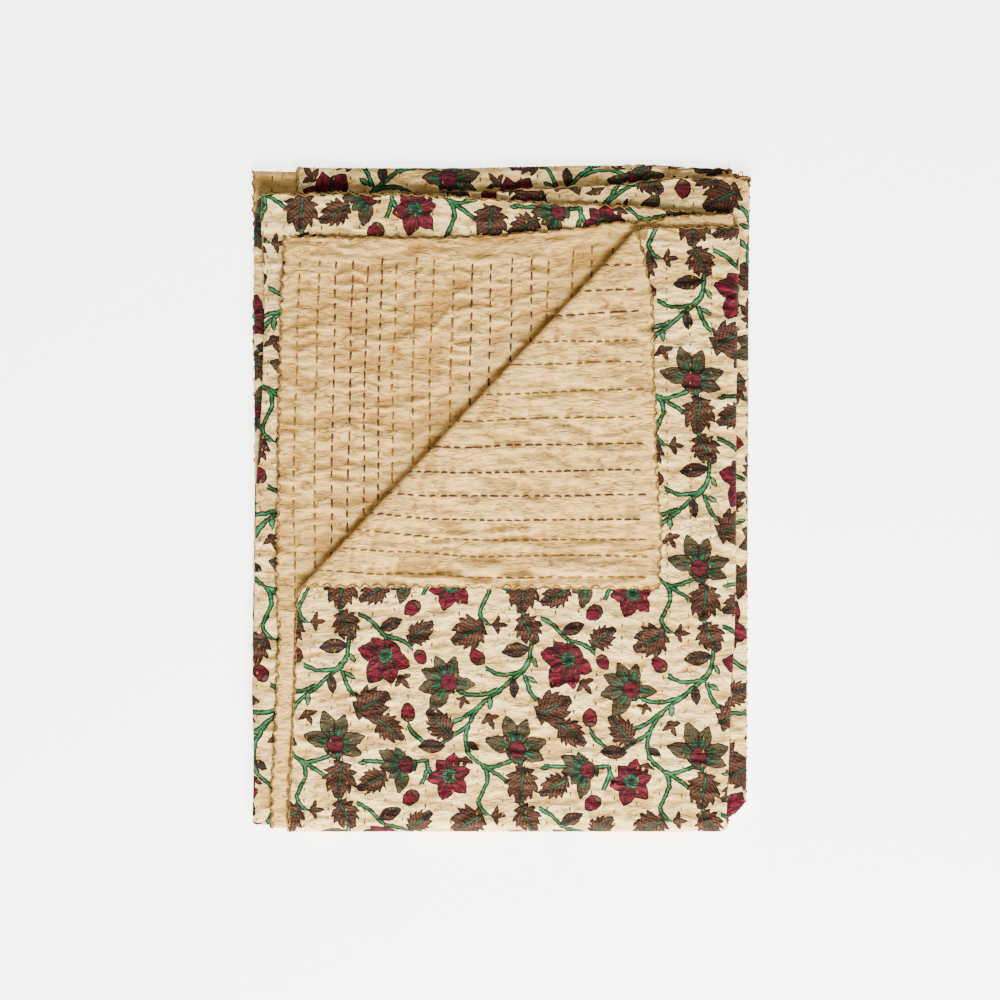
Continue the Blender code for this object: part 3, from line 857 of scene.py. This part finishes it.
# A flower is (x, y, its petals, each as the angle that it points at and its length)
CRIMSON_FLOWERS = (
    (148, 67.5, ((22, 31), (78, 33), (122, 38), (192, 34), (230, 27), (300, 18))),
    (10.5, 201.5, ((282, 27), (343, 25), (45, 28), (108, 30), (168, 27), (228, 24))),
)
# and an olive one has its heart's radius before the petals.
OLIVE_FLOWERS = (
    (89, 170, 10.5, ((250, 41), (288, 37), (343, 37), (18, 34), (75, 21), (196, 39))),
    (9.5, 96, 10.5, ((240, 34), (203, 36), (166, 38), (123, 40), (4, 31), (282, 31))),
    (171.5, 191, 9.0, ((206, 35), (174, 31), (140, 26), (104, 34), (240, 24), (0, 12))),
)
# Vines: the steep ones as x at each y, the others as y at each x, in sets whose vines don't overlap.
STEMS = (
    (((48, 105), (67, 103), (76, 100), (84, 93), (91, 83), (98, 75), (107, 65), (113, 56), (119, 48),
      (131, 39), (143, 32), (155, 29), (163, 29), (175, 32), (182, 39), (189, 49), (196, 54), (207, 55),
      (215, 51), (224, 47), (230, 44), (236, 46), (242, 51), (246, 57)),),
    (((85, 97), (92, 99), (100, 102), (108, 106), (115, 113)),
     ((183, 196), (192, 197.5), (200, 201), (207, 209))),
    (((193, 198), (204, 194), (213, 190)),),
)
VINES = (
    (((52, 79), (60, 83), (67, 86), (77, 86), (89, 84), (97, 78), (103, 67)),
     ((115, 21), (120, 23), (128, 27), (135, 33), (141, 40), (148, 45), (156, 47), (164, 49),
      (171, 52), (180, 59)),
     ((182, 187), (188, 186), (196, 185))),
    (((-6, 148), (-1, 142), (8, 141), (17, 140), (26, 136), (33, 131), (41, 125), (49, 118)),
     ((49.5, 189), (56, 191), (63, 190), (72, 187), (80, 184), (87, 180)),
     ((121, 188), (153, 188)), ((173, 143), (178, 152), (183, 157), (189, 161), (196, 167))),
    (((-2, 167), (6, 162), (13, 157), (21, 152), (31, 145)), ((54, 191), (63, 197), (70, 201), (80, 208)),
     ((90, 9), (94, 16), (98, 21))),
    (((16, 101), (22, 106), (30, 109), (38, 110), (49, 109), (59, 106), (66, 103)),),
)
CREAM, CREAM_DEEP = rgb(250, 221, 152), rgb(238, 205, 131)
OUTLINE = rgb(31, 23, 20)
CRIMSON, CRIMSON_LIGHT, CRIMSON_DEEP = rgb(97, 7, 31), rgb(117, 12, 41), rgb(51, 7, 20)
BROWN, BROWN_DEEP, RUST = rgb(67, 43, 30), rgb(43, 30, 23), rgb(92, 55, 33)
OLIVE, OLIVE_DEEP = rgb(80, 71, 46), rgb(45, 41, 30)
GREEN, GREEN_LIGHT, GREEN_DEEP = rgb(23, 79, 50), rgb(60, 122, 80), rgb(11, 39, 27)
LINE = 1.75                             # width of the print's dark outline
VEIN_PITCH = 5.0
CRIMSON_CORE, RAYS, STRIPES = 8.0, 46.0, 15.0
VINE_LIGHT, VINE_MIDDLE, VINE_HALF = 0.5, 1.5, 2.8      # how far each green reaches from its middle
VINE_ENDS, NO_VINE = 0.05, 99           # how sharply a vine ends, and its distance where there is none


def set_curve(curve, xs, ys):
    points = curve.points
    while len(points) < len(xs):
        points.new(0.5, 0.5)
    for point, x, y in zip(points, xs, ys):
        point.location = (float(x), float(y))
        point.handle_type = "VECTOR"


def chart(value, tables):
    """Up to three given curves read at one value from 0 to 1. Each table is (xs, ys)."""
    wire = value.make("ShaderNodeRGBCurve", {}, {"Color": value})
    mapping = wire.socket.node.mapping
    for number, (xs, ys) in enumerate(tables):
        set_curve(mapping.curves[number], xs, ys)
    mapping.update()
    return wire


ROUND_STEPS = np.linspace(0, 360, 121)  # degrees round a leaf or flower
TURN = 1 / (2 * math.pi)
# Each kind of leaf: half width over half length, depth of its teeth and how many on each side
LEAF_SHAPES = {"broad": (0.8, 0.36, 5), "toothed": (0.64, 0.34, 6),
               "smooth": (0.5, 0, 1), "sprig": (0.42, 0, 1)}
LOBES = ((0, 0.66), (76, 0.52))         # of a lobed leaf: where they point and how far they reach
BUD_WIDTH = 0.72
# How steeply a petal narrows, its half width in degrees, and how far out its seams begin
CRIMSON_PETALS, OLIVE_PETALS = (1.5, 41.0, 0.5), (1.45, 34.0, 0.4)


def leaf_chart(kind):
    """Radius of a leaf round its middle, tip at 0 degrees, with the sine and cosine of the angle."""
    angle = np.radians(ROUND_STEPS)
    away = np.abs((ROUND_STEPS + 180) % 360 - 180)
    sine, cosine = np.abs(np.sin(angle)), np.cos(angle)
    if kind == "lobed":
        lobes = [np.clip(1 - np.abs(away - at) / 37, 0, 1) ** 1.15 * long for at, long in LOBES]
        radius = 0.34 + np.maximum(*lobes)
    elif kind == "bud":
        oval = BUD_WIDTH / np.sqrt((BUD_WIDTH * cosine) ** 2 + sine ** 2)
        radius = oval * (0.94 - 0.2 * smooth(away, 100, 180))
        radius = radius + 0.06 * np.exp(-(away / 12) ** 2)
    else:
        width, tooth, teeth = LEAF_SHAPES[kind]
        radius = 2 * width / (sine + np.sqrt(sine ** 2 + (2 * width * cosine) ** 2))
        uneven = away / 180 * teeth + 0.12 * np.sin(ROUND_STEPS * 0.07)
        radius = radius * (1 + tooth * 0.45 - tooth * (uneven % 1) * smooth(away, 0, 20))
    return ROUND_STEPS / 360, np.clip(radius, 0.1, 1), sine, (cosine + 1) / 2


def petal_chart(petals, crimson):
    """Radius of a flower over its longest petal, with how far off seams and petal middles are."""
    at, long = np.array(petals, float).T
    away = np.abs((ROUND_STEPS[:, None] - at[None] + 180) % 360 - 180)
    steep, width, valley = CRIMSON_PETALS if crimson else OLIVE_PETALS
    tip = 0.14 * np.exp(-(away / 6) ** 2)
    outline = 0.86 - 0.86 * np.clip(away / width, 0, 1) ** steep + tip
    reach = long * (valley + (1 - valley) * outline)
    nearest = np.argsort(away, axis=1)
    first = np.take_along_axis(away, nearest, 1)
    seam = np.radians(first[:, 1] - first[:, 0]) / 2
    radius = np.where(first[:, 0] < width, reach.max(axis=1), valley * long.mean())
    return (ROUND_STEPS / 360, radius / long.max(), np.clip(seam, 0, 1),
            np.clip(np.radians(first[:, 0]), 0, 1)), float(long.max())


def wrapped(place, x, y):
    """Way to a point of the print from a motif, across the repeat's edges."""
    way = place.vector("SUBTRACT", place, (x, y, 0))
    half = (REPEAT[0] / 2, REPEAT[1] / 2, 1)
    return way.vector("WRAP", way, half, tuple(-size for size in half))


def length_of(way):
    return way.vector("LENGTH", way, output=1)


def angle_of(way):
    return way.math("ARCTAN2", way.axis(1), way.axis(0))


def nearest_motif(place, motifs):
    """The motif that a point belongs to: way from it, distance over its size, angle and size."""
    way, best, facts = None, None, None
    for x, y, turn, size in motifs:
        this_way = wrapped(place, x, y)
        this = length_of(this_way) * (1 / size)
        these = (math.radians(turn), size, 0)
        if way is None:
            way, best = this_way, this
            facts = place.vector("ADD", (0, 0, 0), these)
            continue
        closer = this < best
        best = this.lesser(best)
        way = closer.pick(way, this_way)
        facts = closer.pick(facts, these)
    return best, ((angle_of(way) - facts.axis(0)) * TURN).fraction(), facts.axis(1)


def paint_leaves(colour, place, motifs, kind, grain):
    """Leaves of one kind over what is printed already."""
    far, turn, size = nearest_motif(place, motifs)
    xs, radius, sine, cosine = leaf_chart(kind)
    read = chart(turn, ((xs, radius), (xs, sine), (xs, cosine)))
    reach, off_axis, forward = read.axis(0), read.axis(1) * far, read.axis(2) * 2 - 1
    depth = (reach - far) * size
    if kind == "sprig":
        body = (depth > LINE * 0.8).mix(GREEN_DEEP, GREEN_LIGHT)
    elif kind == "bud":
        cup = forward * far + 0.2 + off_axis * off_axis * 0.6
        body = (cup > 0).mix((grain > 0.5).mix(BROWN, RUST), (grain > 0.42).mix(CRIMSON_DEEP, CRIMSON))
        body = (cup.size() < 0.08).mix(body, OUTLINE)
    elif kind == "lobed":
        body = (grain > 0.5).mix(BROWN_DEEP, BROWN)
        body = ((grain > 0.56) * (depth > 2.2)).mix(body, RUST)
    else:
        length_way, side_way = forward * far * size, off_axis * size
        veins = ((length_way - side_way * 0.9) * (1 / VEIN_PITCH)).fraction()
        body = (grain > 0.52).mix(BROWN_DEEP, BROWN)
        body = ((grain > 0.45) * (depth > 2.4) * (side_way > 2.2)).mix(body, RUST)
        body = ((veins < 0.3 + (grain - 0.5) * 1.3) * (side_way > 1.1)).mix(body, OUTLINE)
        body = ((side_way < 1.7) * (far < reach * 0.85)).mix(body, OUTLINE)
        if kind != "smooth":
            middle = (length_way > size * -0.6) * (length_way < size * 0.35)
            body = ((side_way < 0.8) * middle).mix(body, GREEN)
    body = (depth < LINE).mix(body, OUTLINE)
    return (depth > 0).mix(colour, body)


def paint_flower(colour, place, x, y, petals, grain, heart=0.0):
    """A crimson flower, or an olive one round a heart of that radius, over what is printed already."""
    crimson = not heart
    way = wrapped(place, x, y)
    far, turn = length_of(way), angle_of(way) * TURN
    (xs, radius, seam, middle), longest = petal_chart(petals, crimson)
    read = chart(turn.fraction(), ((xs, radius), (xs, seam), (xs, middle)))
    depth = read.axis(0) * longest - far
    seam_gap, middle_gap = read.axis(1) * far, read.axis(2) * far
    if crimson:
        rays = place.make("ShaderNodeCombineXYZ", {}, {0: turn * RAYS, 1: far * 0.07}).speckle(1.0, 1.0)
        body = (grain > 0.46).mix(CRIMSON_DEEP, CRIMSON)
        body = (rays > 0.6).mix(body, CRIMSON_LIGHT)
        body = (rays < 0.38).mix(body, CRIMSON_DEEP)
        core = CRIMSON_CORE
        tongue = (middle_gap < 0.8 + (grain - 0.5) * 3) * (far > core) * (far < core + 10)
        body = tongue.mix(body, GREEN_DEEP)
        centre = (grain > 0.5).mix(GREEN_DEEP, GREEN)
        centre = (grain > 0.64).mix(centre, GREEN_LIGHT)
        centre = ((far < 4.0) * (grain > 0.5)).mix(centre, OUTLINE)
    else:
        body = (grain > 0.5).mix(OLIVE_DEEP, OLIVE)
        body = ((middle_gap > 2.2) * (middle_gap < 3.0) * (depth > 4)).mix(body, OLIVE_DEEP)
        body = ((middle_gap < 1.4) * (far > heart) * (far < heart + 10)).mix(body, GREEN)
        body = ((middle_gap > 1.4) * (middle_gap < 2.2) * (far < heart + 10)).mix(body, GREEN_DEEP)
        centre = ((turn * STRIPES).fraction() > 0.4).mix(OUTLINE, CRIMSON)
        centre = (far < 2.2).mix(centre, CRIMSON_DEEP)
        centre = ((heart - far) < LINE).mix(centre, OUTLINE)
        core = heart
    body = ((seam_gap < LINE * 0.75) * (far > core)).mix(body, OUTLINE)
    body = (far < core).mix(body, centre)
    body = (depth < LINE).mix(body, OUTLINE)
    return (depth > 0).mix(colour, body)


def vine_tables(runs, period, height):
    """Curve of one set of vines, and how much its slope narrows it, 0 where no vine runs."""
    spots = []
    for run in runs:
        run = np.array(run, float)
        slope = np.gradient(run[:, 1], run[:, 0])
        narrow = 1 / np.sqrt(1 + slope ** 2)
        spots.append((run[0, 0] - VINE_ENDS, run[0, 1], 0.0))
        spots += list(zip(run[:, 0], run[:, 1], narrow))
        spots.append((run[-1, 0] + VINE_ENDS, run[-1, 1], 0.0))
    spots = np.array(spots)
    spots = np.concatenate([spots + np.array([shift, 0, 0]) for shift in (-period, 0, period)])
    spots = spots[np.argsort(spots[:, 0], kind="stable")]
    ends = [np.interp([0, period], spots[:, 0], spots[:, k]) for k in (1, 2)]
    inside = spots[(spots[:, 0] > 0) & (spots[:, 0] < period)]
    xs = np.concatenate([[0], inside[:, 0], [period]]) / period
    values = np.concatenate([[ends[0][0]], inside[:, 1], [ends[0][1]]]) / height
    narrow = np.concatenate([[ends[1][0]], inside[:, 2], [ends[1][1]]])
    return (xs, values), (xs, narrow)


def vine_distance(run_way, other_way, sets, period, height):
    """Distance from the nearest vine of up to three sets, read along one way of the repeat."""
    tables = [vine_tables(runs, period, height) for runs in sets]
    read = run_way * (1 / period)
    place = chart(read, [table[0] for table in tables])
    narrow = chart(read, [table[1] for table in tables])
    near = None
    for number in range(len(sets)):
        slope = narrow.axis(number)
        gap = other_way - place.axis(number) * height
        gap = gap.size() * slope + (slope < 0.3) * NO_VINE
        near = gap if near is None else near.lesser(gap)
    return near


def paint_vines(colour, place):
    x, y = place.axis(0), place.axis(1)
    near = vine_distance(y, x, STEMS, REPEAT[1], REPEAT[0])
    for sets in (VINES[:3], VINES[3:]):
        near = near.lesser(vine_distance(x, y, sets, REPEAT[0], REPEAT[1]))
    body = (near < VINE_LIGHT).mix(GREEN, GREEN_LIGHT)
    body = (near > VINE_MIDDLE).mix(body, GREEN_DEEP)
    return (near < VINE_HALF).mix(colour, body)


def print_place(flat):
    """Place in the repeat of a point of the flat cloth, a little unsteady as a block print is."""
    across_way = flat.axis(0) * (PRINT_SCALE[0] / MM) + PRINT_START[0]
    down_way = (WIDTH * MM - flat.axis(1)) * (PRINT_SCALE[1] / MM) + PRINT_START[1]
    x = across_way - (down_way - SLANT_FROM) * PRINT_SLANT[0]
    y = down_way - across_way * PRINT_SLANT[1]
    place = flat.make("ShaderNodeCombineXYZ", {}, {0: x, 1: y})
    shake = place.speckle(0.16, 1.0, output=1)
    shake = shake.vector("SUBTRACT", shake, (0.5, 0.5, 0.5))
    shake = shake.vector("MULTIPLY", shake, (SHAKE, SHAKE, 0))
    place = place.vector("ADD", place, shake)
    return place.vector("WRAP", place, (*REPEAT, 1), (0, 0, 0))


def printed_material():
    """Block print on cream cotton, painted from the vines up."""
    material, shader = new_material("printed_cotton", 0.9)
    flat = start(material)
    _, crumples = weave(flat, shader, 0.9, 1.45)
    place = print_place(flat)
    grain = flat.speckle(620.0, 1.5)
    colour = flat.grain(14.0, 3.0, 0.6).ramp(0.3, 0.7).mix(CREAM, CREAM_DEEP)
    colour = paint_vines(colour, place)
    for kind, motifs in (("sprig", SPRIGS), ("smooth", SMOOTH_LEAVES), ("lobed", LOBED_LEAVES),
                         ("toothed", TOOTHED_LEAVES), ("bud", BUDS)):
        colour = paint_leaves(colour, place, motifs, kind, grain)
    for x, y, heart, petals in OLIVE_FLOWERS:
        colour = paint_flower(colour, place, x, y, petals, grain, heart)
    colour = paint_leaves(colour, place, BROAD_LEAVES, "broad", grain)
    for x, y, petals in CRIMSON_FLOWERS:
        colour = paint_flower(colour, place, x, y, petals, grain)
    # with shade painted into the hollows and crumples
    flat.paint(shader, painted_hollow_shade(colour, flat, crumples))
    return material


def thread_material(name, light, dark):
    """Cotton thread with fine fibres, a little uneven in colour."""
    material, shader = new_material(name, 0.75)
    tree = material.node_tree
    place = Wire(tree, tree.nodes.new("ShaderNodeTexCoord").outputs["Object"])
    fibre = place.make("ShaderNodeTexNoise", {}, {"Vector": place, "Scale": 1400.0, "Detail": 2.0})
    shade = place.make("ShaderNodeTexNoise", {}, {"Vector": place, "Scale": 90.0, "Detail": 2.0})
    colour = (fibre * 0.6 + shade * 0.5).ramp(0.3, 0.8).mix(dark, light)
    place.paint(shader, colour)
    place.bump(shader, fibre, 0.4, 0.2 * MM)
    return material


# ---------------------------------------------------------------- sewing
OFF_FLOOR = 0.05                        # thread doesn't sink into the floor
STEEP = 0.9                             # of a thread that runs up or down more than across


def tubes(name, paths, radii, sides, material):
    """One mesh of many tubes. paths is (tubes, rings, 3), radii (tubes, rings)."""
    paths[..., 2] = np.maximum(paths[..., 2], radii + OFF_FLOOR)
    count, rings = paths.shape[:2]
    ahead = unit(np.gradient(paths, axis=1))
    up = np.where(np.abs(ahead[..., 2:]) > STEEP, (1.0, 0.0, 0.0), (0.0, 0.0, 1.0))
    first = unit(np.cross(ahead, up))
    second = np.cross(first, ahead)
    turn = 2 * np.pi * np.arange(sides) / sides
    ring = (first[:, :, None] * np.cos(turn)[None, None, :, None]
            + second[:, :, None] * np.sin(turn)[None, None, :, None])
    points = paths[:, :, None] + ring * radii[..., None, None]
    base = (np.arange(count)[:, None, None] * rings + np.arange(rings - 1)[None, :, None]) * sides
    here, after = np.arange(sides), (np.arange(sides) + 1) % sides
    quads = np.stack([base + here, base + after, base + sides + after, base + sides + here], axis=-1)
    faces = quads.reshape(-1, 4).tolist()
    starts = np.arange(count)[:, None] * rings * sides + np.arange(sides)[None, ::-1]
    ends = np.arange(count)[:, None] * rings * sides + (rings - 1) * sides + np.arange(sides)
    faces += starts.tolist() + ends.tolist()
    piece = new_mesh(name, points.reshape(-1, 3) * MM, faces, material)
    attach(piece, "root")


# A stitch from end to end: share of its length, height over the cloth and share of its thickness
STITCH = np.array([(-0.5, -0.7, 0.45), (-0.36, 0.3, 0.85), (0.0, 0.75, 1.0),
                   (0.36, 0.3, 0.85), (0.5, -0.7, 0.45)])
DOT_RISE = 0.75                         # of a dot on the printed side, beside that height
JITTER = 0.12                           # of a stitch's place, in pitches


def stitches(along, down, facing, lengths, thick):
    """Paths and radii of single stitches, each along a row: the ends dip into the cloth."""
    share, lift, swell = STITCH.T
    downs = down[:, None] + lengths[:, None] * share[None]
    alongs = along[:, None] + rng.uniform(-0.5, 0.5, along.shape)[:, None] * share[None] * 2
    _, outward = lie(alongs, downs)
    rise = 1.0 if facing < 0 else DOT_RISE
    place = skin(alongs, downs, facing) + outward * facing * (lift * rise)[None, :, None]
    return place, thick[:, None] * swell[None]


def row_stitches(number, top, low, pitch):
    """Middles of the stitches of one row."""
    count = int((low - top) / pitch)
    downs = top + (np.arange(count) + 0.5) * (low - top) / count
    downs = downs + rng.uniform(-JITTER, JITTER, count) * pitch
    return row_at(number, downs), downs


# Stretches of the rows whose stitches show: first and last distance down, pitch, length and
# thickness of a stitch, and the side that it lies on, 1 for the printed one and -1 for the plain one
COVER_STRETCHES = ((415.0, 740.0, 15.2, 4.5, 1.0, 1), (20.0, 415.0, 13.0, 4.4, 1.0, 1),
                   (1400.0, 1494.0, 16.0, 9.6, 0.95, -1), (760.0, 1470.0, 16.0, 3.8, 0.9, 1))
SECOND_STRETCHES = ((1400.0, 1492.0, 15.5, 4.2, 0.95, 1),)
HIDDEN_STRETCHES = ((14.0, 80.0, 15.0, 4.2, 0.95, 1), (1400.0, 1490.0, 15.0, 4.2, 0.95, 1))
SIDE_STRETCHES = ((80.0, 1400.0, 15.0, 4.2, 0.95, 1),)
THREAD_PIECES = {"b": ("brown_stitches", "brown_thread"), "m": ("mustard_stitches", "mustard_thread")}


def stretches(at):
    """Stretches of the row at one distance along. Each one on a plain face starts at random."""
    if at < RUN_ENDS[1]:
        return ((rng.uniform(12, 24), 415.0, 11.4, 9.2, 1.25, -1), *COVER_STRETCHES)
    if at > RUN_ENDS[6]:
        return ((rng.uniform(24, 36), 700.0, 14.0, 10.2, 1.4, -1), *SECOND_STRETCHES)
    by_side = at - RUN_ENDS[4] < 60 or at < RUN_ENDS[2] + 40
    return HIDDEN_STRETCHES + SIDE_STRETCHES if by_side else HIDDEN_STRETCHES


def sew(threads):
    """Running stitch on the plain side, and the dots that it leaves on the printed one."""
    kept = {"b": [], "m": []}
    for number, (at, _, thread) in enumerate(ROWS):
        for top, low, pitch, length, thick, facing in stretches(at):
            change = rng.uniform(0.82, 1.12)
            along, down = row_stitches(number, top, low, pitch * change)
            size = length * change * rng.uniform(0.72, 1.18, len(down))
            thickness = thick * rng.uniform(0.85, 1.12, len(down))
            kept[thread].append(stitches(along, down, facing, size, thickness))
    for thread, (name, slot_name) in THREAD_PIECES.items():
        paths = np.concatenate([item[0] for item in kept[thread]])
        radii = np.concatenate([item[1] for item in kept[thread]])
        tubes(name, paths, radii, 5, threads[thread])


def edge_path(edge, distance, inward):
    """A point of the flat quilt at a distance along one of its four edges and so far in from it."""
    inward = np.maximum(inward, 0.02)
    if edge == "cover":
        return inward, distance
    if edge == "second":
        return LENGTH - inward, distance
    if edge == "top":
        return distance, inward
    return distance, WIDTH - inward


def edge_span(edge):
    return WIDTH if edge in ("cover", "second") else LENGTH


def overcast(edge):
    """Overcast stitches of one edge: a shallow V on each face, its arms meeting round the edge."""
    long = edge_span(edge)
    count = int(long / EDGE_STITCH)
    share = np.linspace(-0.5, 0.5, 9)
    paths = []
    for facing in (1, -1):
        starts = (np.arange(count) + (0.5 if facing > 0 else 0.0)) * long / count
        size = EDGE_STITCH * rng.uniform(0.8, 1.12, count)
        deep = rng.uniform(1.2, 3.2, count)
        narrow = rng.uniform(0.8, 1.6, count)
        lean = rng.uniform(-0.16, 0.16, count)
        bend = share[None] + lean[:, None] * (1 - (2 * share[None]) ** 2)
        distance = np.clip(starts[:, None] + size[:, None] * bend, 0.3, long - 0.3)
        inward = deep[:, None] * np.clip(np.cos(np.pi * share), 0, 1)[None] ** narrow[:, None]
        here = edge_path(edge, distance, inward)
        place = skin(*here, facing)
        middle, outward = lie(*here)
        out_way = unit(middle - lie(*edge_path(edge, distance, inward + 1.5))[0])
        lift = 0.15 + 0.4 * np.clip(inward / 1.5, 0, 1)
        over = 0.45 * np.clip(1 - inward / 0.9, 0, 1)
        paths.append(place + outward * facing * lift[..., None] + out_way * over[..., None])
    return np.concatenate(paths)


def twisted(edge):
    """A strand that winds along the very edge, in short lengths that run on from each other."""
    long = edge_span(edge)
    count = int(long / TWIST)
    phase = np.arange(count)[:, None] + np.linspace(0, 1, 8)[None]
    wander = phase + 0.35 * noise(phase / 1.7, 4.4, 5)
    distance = np.clip(phase * long / count, 0.3, long - 0.3)
    middle, outward = lie(*edge_path(edge, distance, 0.9 + 0 * distance))
    out_way = unit(middle - lie(*edge_path(edge, distance, 2.4 + 0 * distance))[0])
    angle = 2 * np.pi * wander
    reach = 1.45 + 0.35 * noise(phase / 2.3, 9.1, 6)
    return (middle + out_way * (reach * np.cos(angle) * 0.8 + 0.6)[..., None]
            + outward * (reach * np.sin(angle))[..., None])


# Loops of thread that hang at a corner, and one loose strand: how far each lies above the cloth, and
# places across and along that it runs through
LOOSE_ENDS = (
    (0.6, ((272, 370), (274.5, 375), (278, 376.5), (279, 372), (276.5, 369))),
    (0.6, ((281, 365), (285, 369), (287.5, 370), (288, 366.5), (285, 363))),
    (0.7, ((-277.5, 354), (-276, 338), (-278, 322), (-275, 306), (-276, 288), (-273, 268))),
)
OVERCAST_RADIUS, TWIST_RADIUS, LOOSE_RADIUS = 0.7, 0.5, 0.75


def lie_on_cloth(above, points):
    """Places of a loose end, with the height of the cloth beneath it."""
    graph = bpy.context.evaluated_depsgraph_get()
    level, places = 0.0, []
    for x, y in points:
        met, spot = bpy.context.scene.ray_cast(graph, (x * MM, y * MM, 1.0), (0, 0, -1))[:2]
        level = spot[2] / MM if met else level
        places.append((x, y, level + above))
    return np.array(places)


def loose_end(above, points):
    """A hanging loop or strand through a few places, smoothly."""
    points = lie_on_cloth(above, points)
    share = np.linspace(0, len(points) - 1, 8 * (len(points) - 1) + 1)
    first = np.clip(share.astype(int), 0, len(points) - 2)
    mix = (share - first)[:, None]
    ends = np.concatenate([points[:1], points, points[-1:]])
    a, b, c, d = ends[first], ends[first + 1], ends[first + 2], ends[first + 3]
    path = 0.5 * (2 * b + (c - a) * mix + (2 * a - 5 * b + 4 * c - d) * mix ** 2
                  + (3 * b - a - 3 * c + d) * mix ** 3)
    return path[None]


def sew_edges(material):
    edges = ("cover", "second", "top", "low")
    for name, shape, radius, uneven in (("edge_thread", overcast, OVERCAST_RADIUS, (0.85, 1.12)),
                                        ("edge_twist", twisted, TWIST_RADIUS, (0.9, 1.1))):
        paths = np.concatenate([shape(edge) for edge in edges])
        radii = np.full(paths.shape[:2], radius) * rng.uniform(*uneven, len(paths))[:, None]
        tubes(name, paths, radii, 5, material)
    for number, (above, points) in enumerate(LOOSE_ENDS, 1):
        path = loose_end(above, points)
        radii = np.full(path.shape[:2], LOOSE_RADIUS)
        tubes(f"loose_{number}_thread", path, radii, 6, material)


# ---------------------------------------------------------------- floor, light and camera
# Each light: place, size, power and colour. All look at the middle of the quilt.
LIGHTS = {
    "key": ((0.5, -2.0, 2.3), (1.9, 1.4), 284.0, (1.0, 0.955, 0.88)),
    "low": ((0.4, -2.5, 0.85), (1.3, 0.5), 156.0, (1.0, 0.94, 0.86)),
    "overhead": ((0.0, 0.1, 3.2), (2.4, 2.4), 17.0, (1.0, 0.98, 0.95)),
}
FLOOR_HALF = 6.0
FLOOR_GLOW = 3.4
LENS, FILM = 140.0, 36.0
VIEW_WIDTH = 1.15                       # of the floor that the camera sees
EYE = (-0.0018, -0.0026, 0.035 + VIEW_WIDTH * LENS / FILM)


def area_light(name, place, size, power, colour):
    light = bpy.data.lights.new(name, "AREA")
    light.shape = "RECTANGLE"
    light.size, light.size_y = size
    light.energy = power
    light.color = colour
    lamp = bpy.data.objects.new(name, light)
    bpy.context.scene.collection.objects.link(lamp)
    lamp.location = place
    lamp.rotation_euler = (-Vector(place)).to_track_quat("-Z", "Y").to_euler()


def set_stage():
    material, shader = new_material("pale_floor", 0.9)
    shader.inputs["Base Color"].default_value = (0.93, 0.93, 0.93, 1)
    shader.inputs["Emission Color"].default_value = (1, 1, 1, 1)
    shader.inputs["Emission Strength"].default_value = FLOOR_GLOW
    corners = np.array([(-1, -1, 0), (1, -1, 0), (1, 1, 0), (-1, 1, 0)]) * FLOOR_HALF
    floor = new_mesh("floor", corners, [[0, 1, 2, 3]], material)
    for name, facts in LIGHTS.items():
        area_light(name, *facts)
    world = bpy.data.worlds.new("studio")
    bpy.context.scene.world = world
    world.use_nodes = True
    world.node_tree.nodes["Background"].inputs["Color"].default_value = (1.0, 0.985, 0.96, 1)
    world.node_tree.nodes["Background"].inputs["Strength"].default_value = 0.3
    camera = bpy.data.cameras.new("camera")
    camera.lens = LENS
    camera.sensor_width = FILM
    eye = bpy.data.objects.new("camera", camera)
    bpy.context.scene.collection.objects.link(eye)
    eye.location = EYE
    bpy.context.scene.camera = eye


printed = printed_material()
plain = plain_material()
threads = {"b": thread_material("brown_thread", rgb(98, 64, 41), rgb(60, 38, 26)),
           "m": thread_material("mustard_thread", rgb(152, 114, 48), rgb(78, 57, 25))}
face = make_cloth("printed", "printed_face", 1, printed)
back = make_cloth("plain", "plain_back", -1, plain)
sew(threads)
sew_edges(threads["m"])
set_stage()
